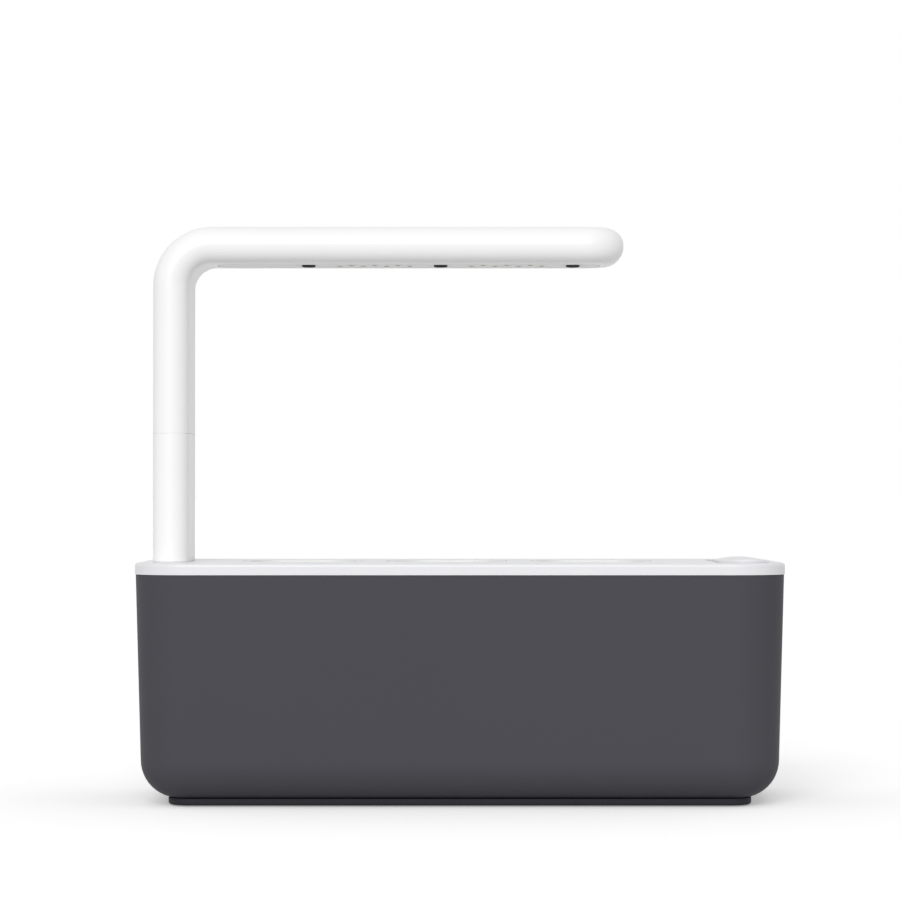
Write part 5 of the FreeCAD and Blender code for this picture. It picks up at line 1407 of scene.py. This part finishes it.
    def _plugs(self) -> None:
        """Make the rubber plugs over the panel's screws."""
        solid = Solid()
        rise = self.plug_bite + self.plug_stand - self.plug_edge
        straight = rise - sum(along for _, along in self.plug_crown)
        for x in self.screw_xs:
            plug = solid.disc(self.plug, (x, 0.0), -self.plug_bite)
            solid.walk(plug, [(0.0, straight), *quarter(self.plug_edge, facets=4), *self.plug_crown],
                       closed=True)
        solid.move(self._hang)
        solid.piece("rubber_plugs", Body.LAMP_ARM, BLACK_RUBBER, "screw_plugs")

    def _lamps(self) -> None:
        """Make the lamps, each a round package with a domed lens."""
        solid = Solid()
        shoulder = self.lamp_base - self.lens - self.lamp_edge
        for place in self.lamp_places:
            base = solid.disc(self.lamp_base, place, -self.panel_height, self.lamp_facets)
            solid.walk(base, [(0.0, self.lamp_base_height), (self.lamp_edge, self.lamp_edge),
                              (shoulder, 0.0), self.lens_side, *quarter(self.lens_round, facets=5)],
                       closed=True)
        solid.move(self._hang)
        solid.piece("lamps", Body.LAMP_ARM, LAMP_RESIN, "leds")


# Studio


@dataclass
class Studio:
    """Camera, floor, backdrop and light, in metres and degrees."""

    camera_place: Triple = (-0.00456, -1.6125, 0.1411)
    camera_tilt: float = 0.83
    camera_lens: float = 136.3
    camera_sensor: float = 36.0
    camera_near: float = 0.05
    world_fill: float = 0.52
    floor_reach: float = 400.0
    floor_level: float = -0.00005
    floor_bounce: float = 0.73
    floor_glow: float = 0.28
    key_strength: float = 1.74
    key_spread: float = 34.0
    key_from: Triple = (-0.27, -1.9, 0.87)

    def build(self) -> None:
        """Make the camera, the world, the floor and the light."""
        self._camera()
        self._world()
        self._floor()
        self._key()
        bpy.context.scene.view_settings.view_transform = "Standard"

    def _camera(self) -> None:
        """Put the camera where the photograph was taken from."""
        data = bpy.data.cameras.new("camera")
        data.lens = self.camera_lens
        data.sensor_width = self.camera_sensor
        data.clip_start = self.camera_near
        made = bpy.data.objects.new("camera", data)
        made.location = self.camera_place
        made.rotation_euler = (math.radians(90 + self.camera_tilt), 0.0, 0.0)
        bpy.context.scene.collection.objects.link(made)
        bpy.context.scene.camera = made

    def _seen(self, shader: Shader) -> Sock:
        """Tell rays that show the background from rays that light the object.

        Args:
            shader: The tree that asks.

        Returns:
            1 for camera, glossy and transmission rays, and 0 for the others.
        """
        rays = ("Is Camera Ray", "Is Glossy Ray", "Is Transmission Ray")
        camera, glossy, through = (shader.node("ShaderNodeLightPath", {}, {}, ray) for ray in rays)
        return (camera + glossy + through).clamp()

    def _world(self) -> None:
        """Make a white background that lights at a plain level."""
        world = bpy.data.worlds.new("world")
        world.use_nodes = True
        bpy.context.scene.world = world
        shader = Shader(world.node_tree)
        strength = self._seen(shader).spread(self.world_fill, 1.0)
        back = shader.node("ShaderNodeBackground", {}, {"Color": WHITE, "Strength": strength})
        shader.node("ShaderNodeOutputWorld", {}, {"Surface": back})

    def _floor(self) -> None:
        """Lay a wide floor just below the pads."""
        bm = bmesh.new()
        bmesh.ops.create_grid(bm, x_segments=1, y_segments=1, size=self.floor_reach,
                              matrix=Matrix.Translation((0.0, 0.0, self.floor_level)))
        mesh = bpy.data.meshes.new("floor")
        bm.to_mesh(mesh)
        bm.free()
        mesh.materials.append(self._floor_paint())
        floor = bpy.data.objects.new("floor", mesh)
        bpy.context.scene.collection.objects.link(floor)

    def _floor_paint(self) -> bpy.types.Material:
        """Make the floor white to the camera except in the shadow, and clear from below.

        Returns:
            The floor's material.
        """
        material = bpy.data.materials.new("pale_floor")
        material.use_nodes = True
        shader = Shader(material.node_tree)
        seen = self._seen(shader)
        shade = shader.mix(seen, (self.floor_bounce,) * 3, WHITE)
        matte = shader.node("ShaderNodeBsdfDiffuse", {}, {"Color": shade})
        glow = shader.node("ShaderNodeEmission", {}, {"Strength": seen * self.floor_glow})
        both = shader.node("ShaderNodeAddShader", {}, {0: matte, 1: glow})
        below = shader.node("ShaderNodeNewGeometry", {}, {}, "Backfacing")
        clear = shader.node("ShaderNodeBsdfTransparent", {}, {})
        one_sided = shader.node("ShaderNodeMixShader", {}, {0: below, 1: both, 2: clear})
        shader.node("ShaderNodeOutputMaterial", {}, {"Surface": one_sided})
        return material

    def _key(self) -> None:
        """Light the garden evenly and softly from in front, a little to the left and above."""
        data = bpy.data.lights.new("key_light", "SUN")
        data.energy = self.key_strength
        data.angle = math.radians(self.key_spread)
        made = bpy.data.objects.new("key_light", data)
        made.rotation_euler = (-Vector(self.key_from)).to_track_quat("-Z", "Y").to_euler()
        bpy.context.scene.collection.objects.link(made)


def main() -> None:
    """Build the garden's pieces and the studio."""
    logging.basicConfig(level=logging.INFO, format="%(message)s")
    Studio().build()
    WaterTank().build()
    Lid().build()
    FloatLevel().build()
    for spot in Spot:
        PlantCup(spot).build()
    PostExtension().build()
    LampArm().build()


if __name__ == "__main__":
    main()
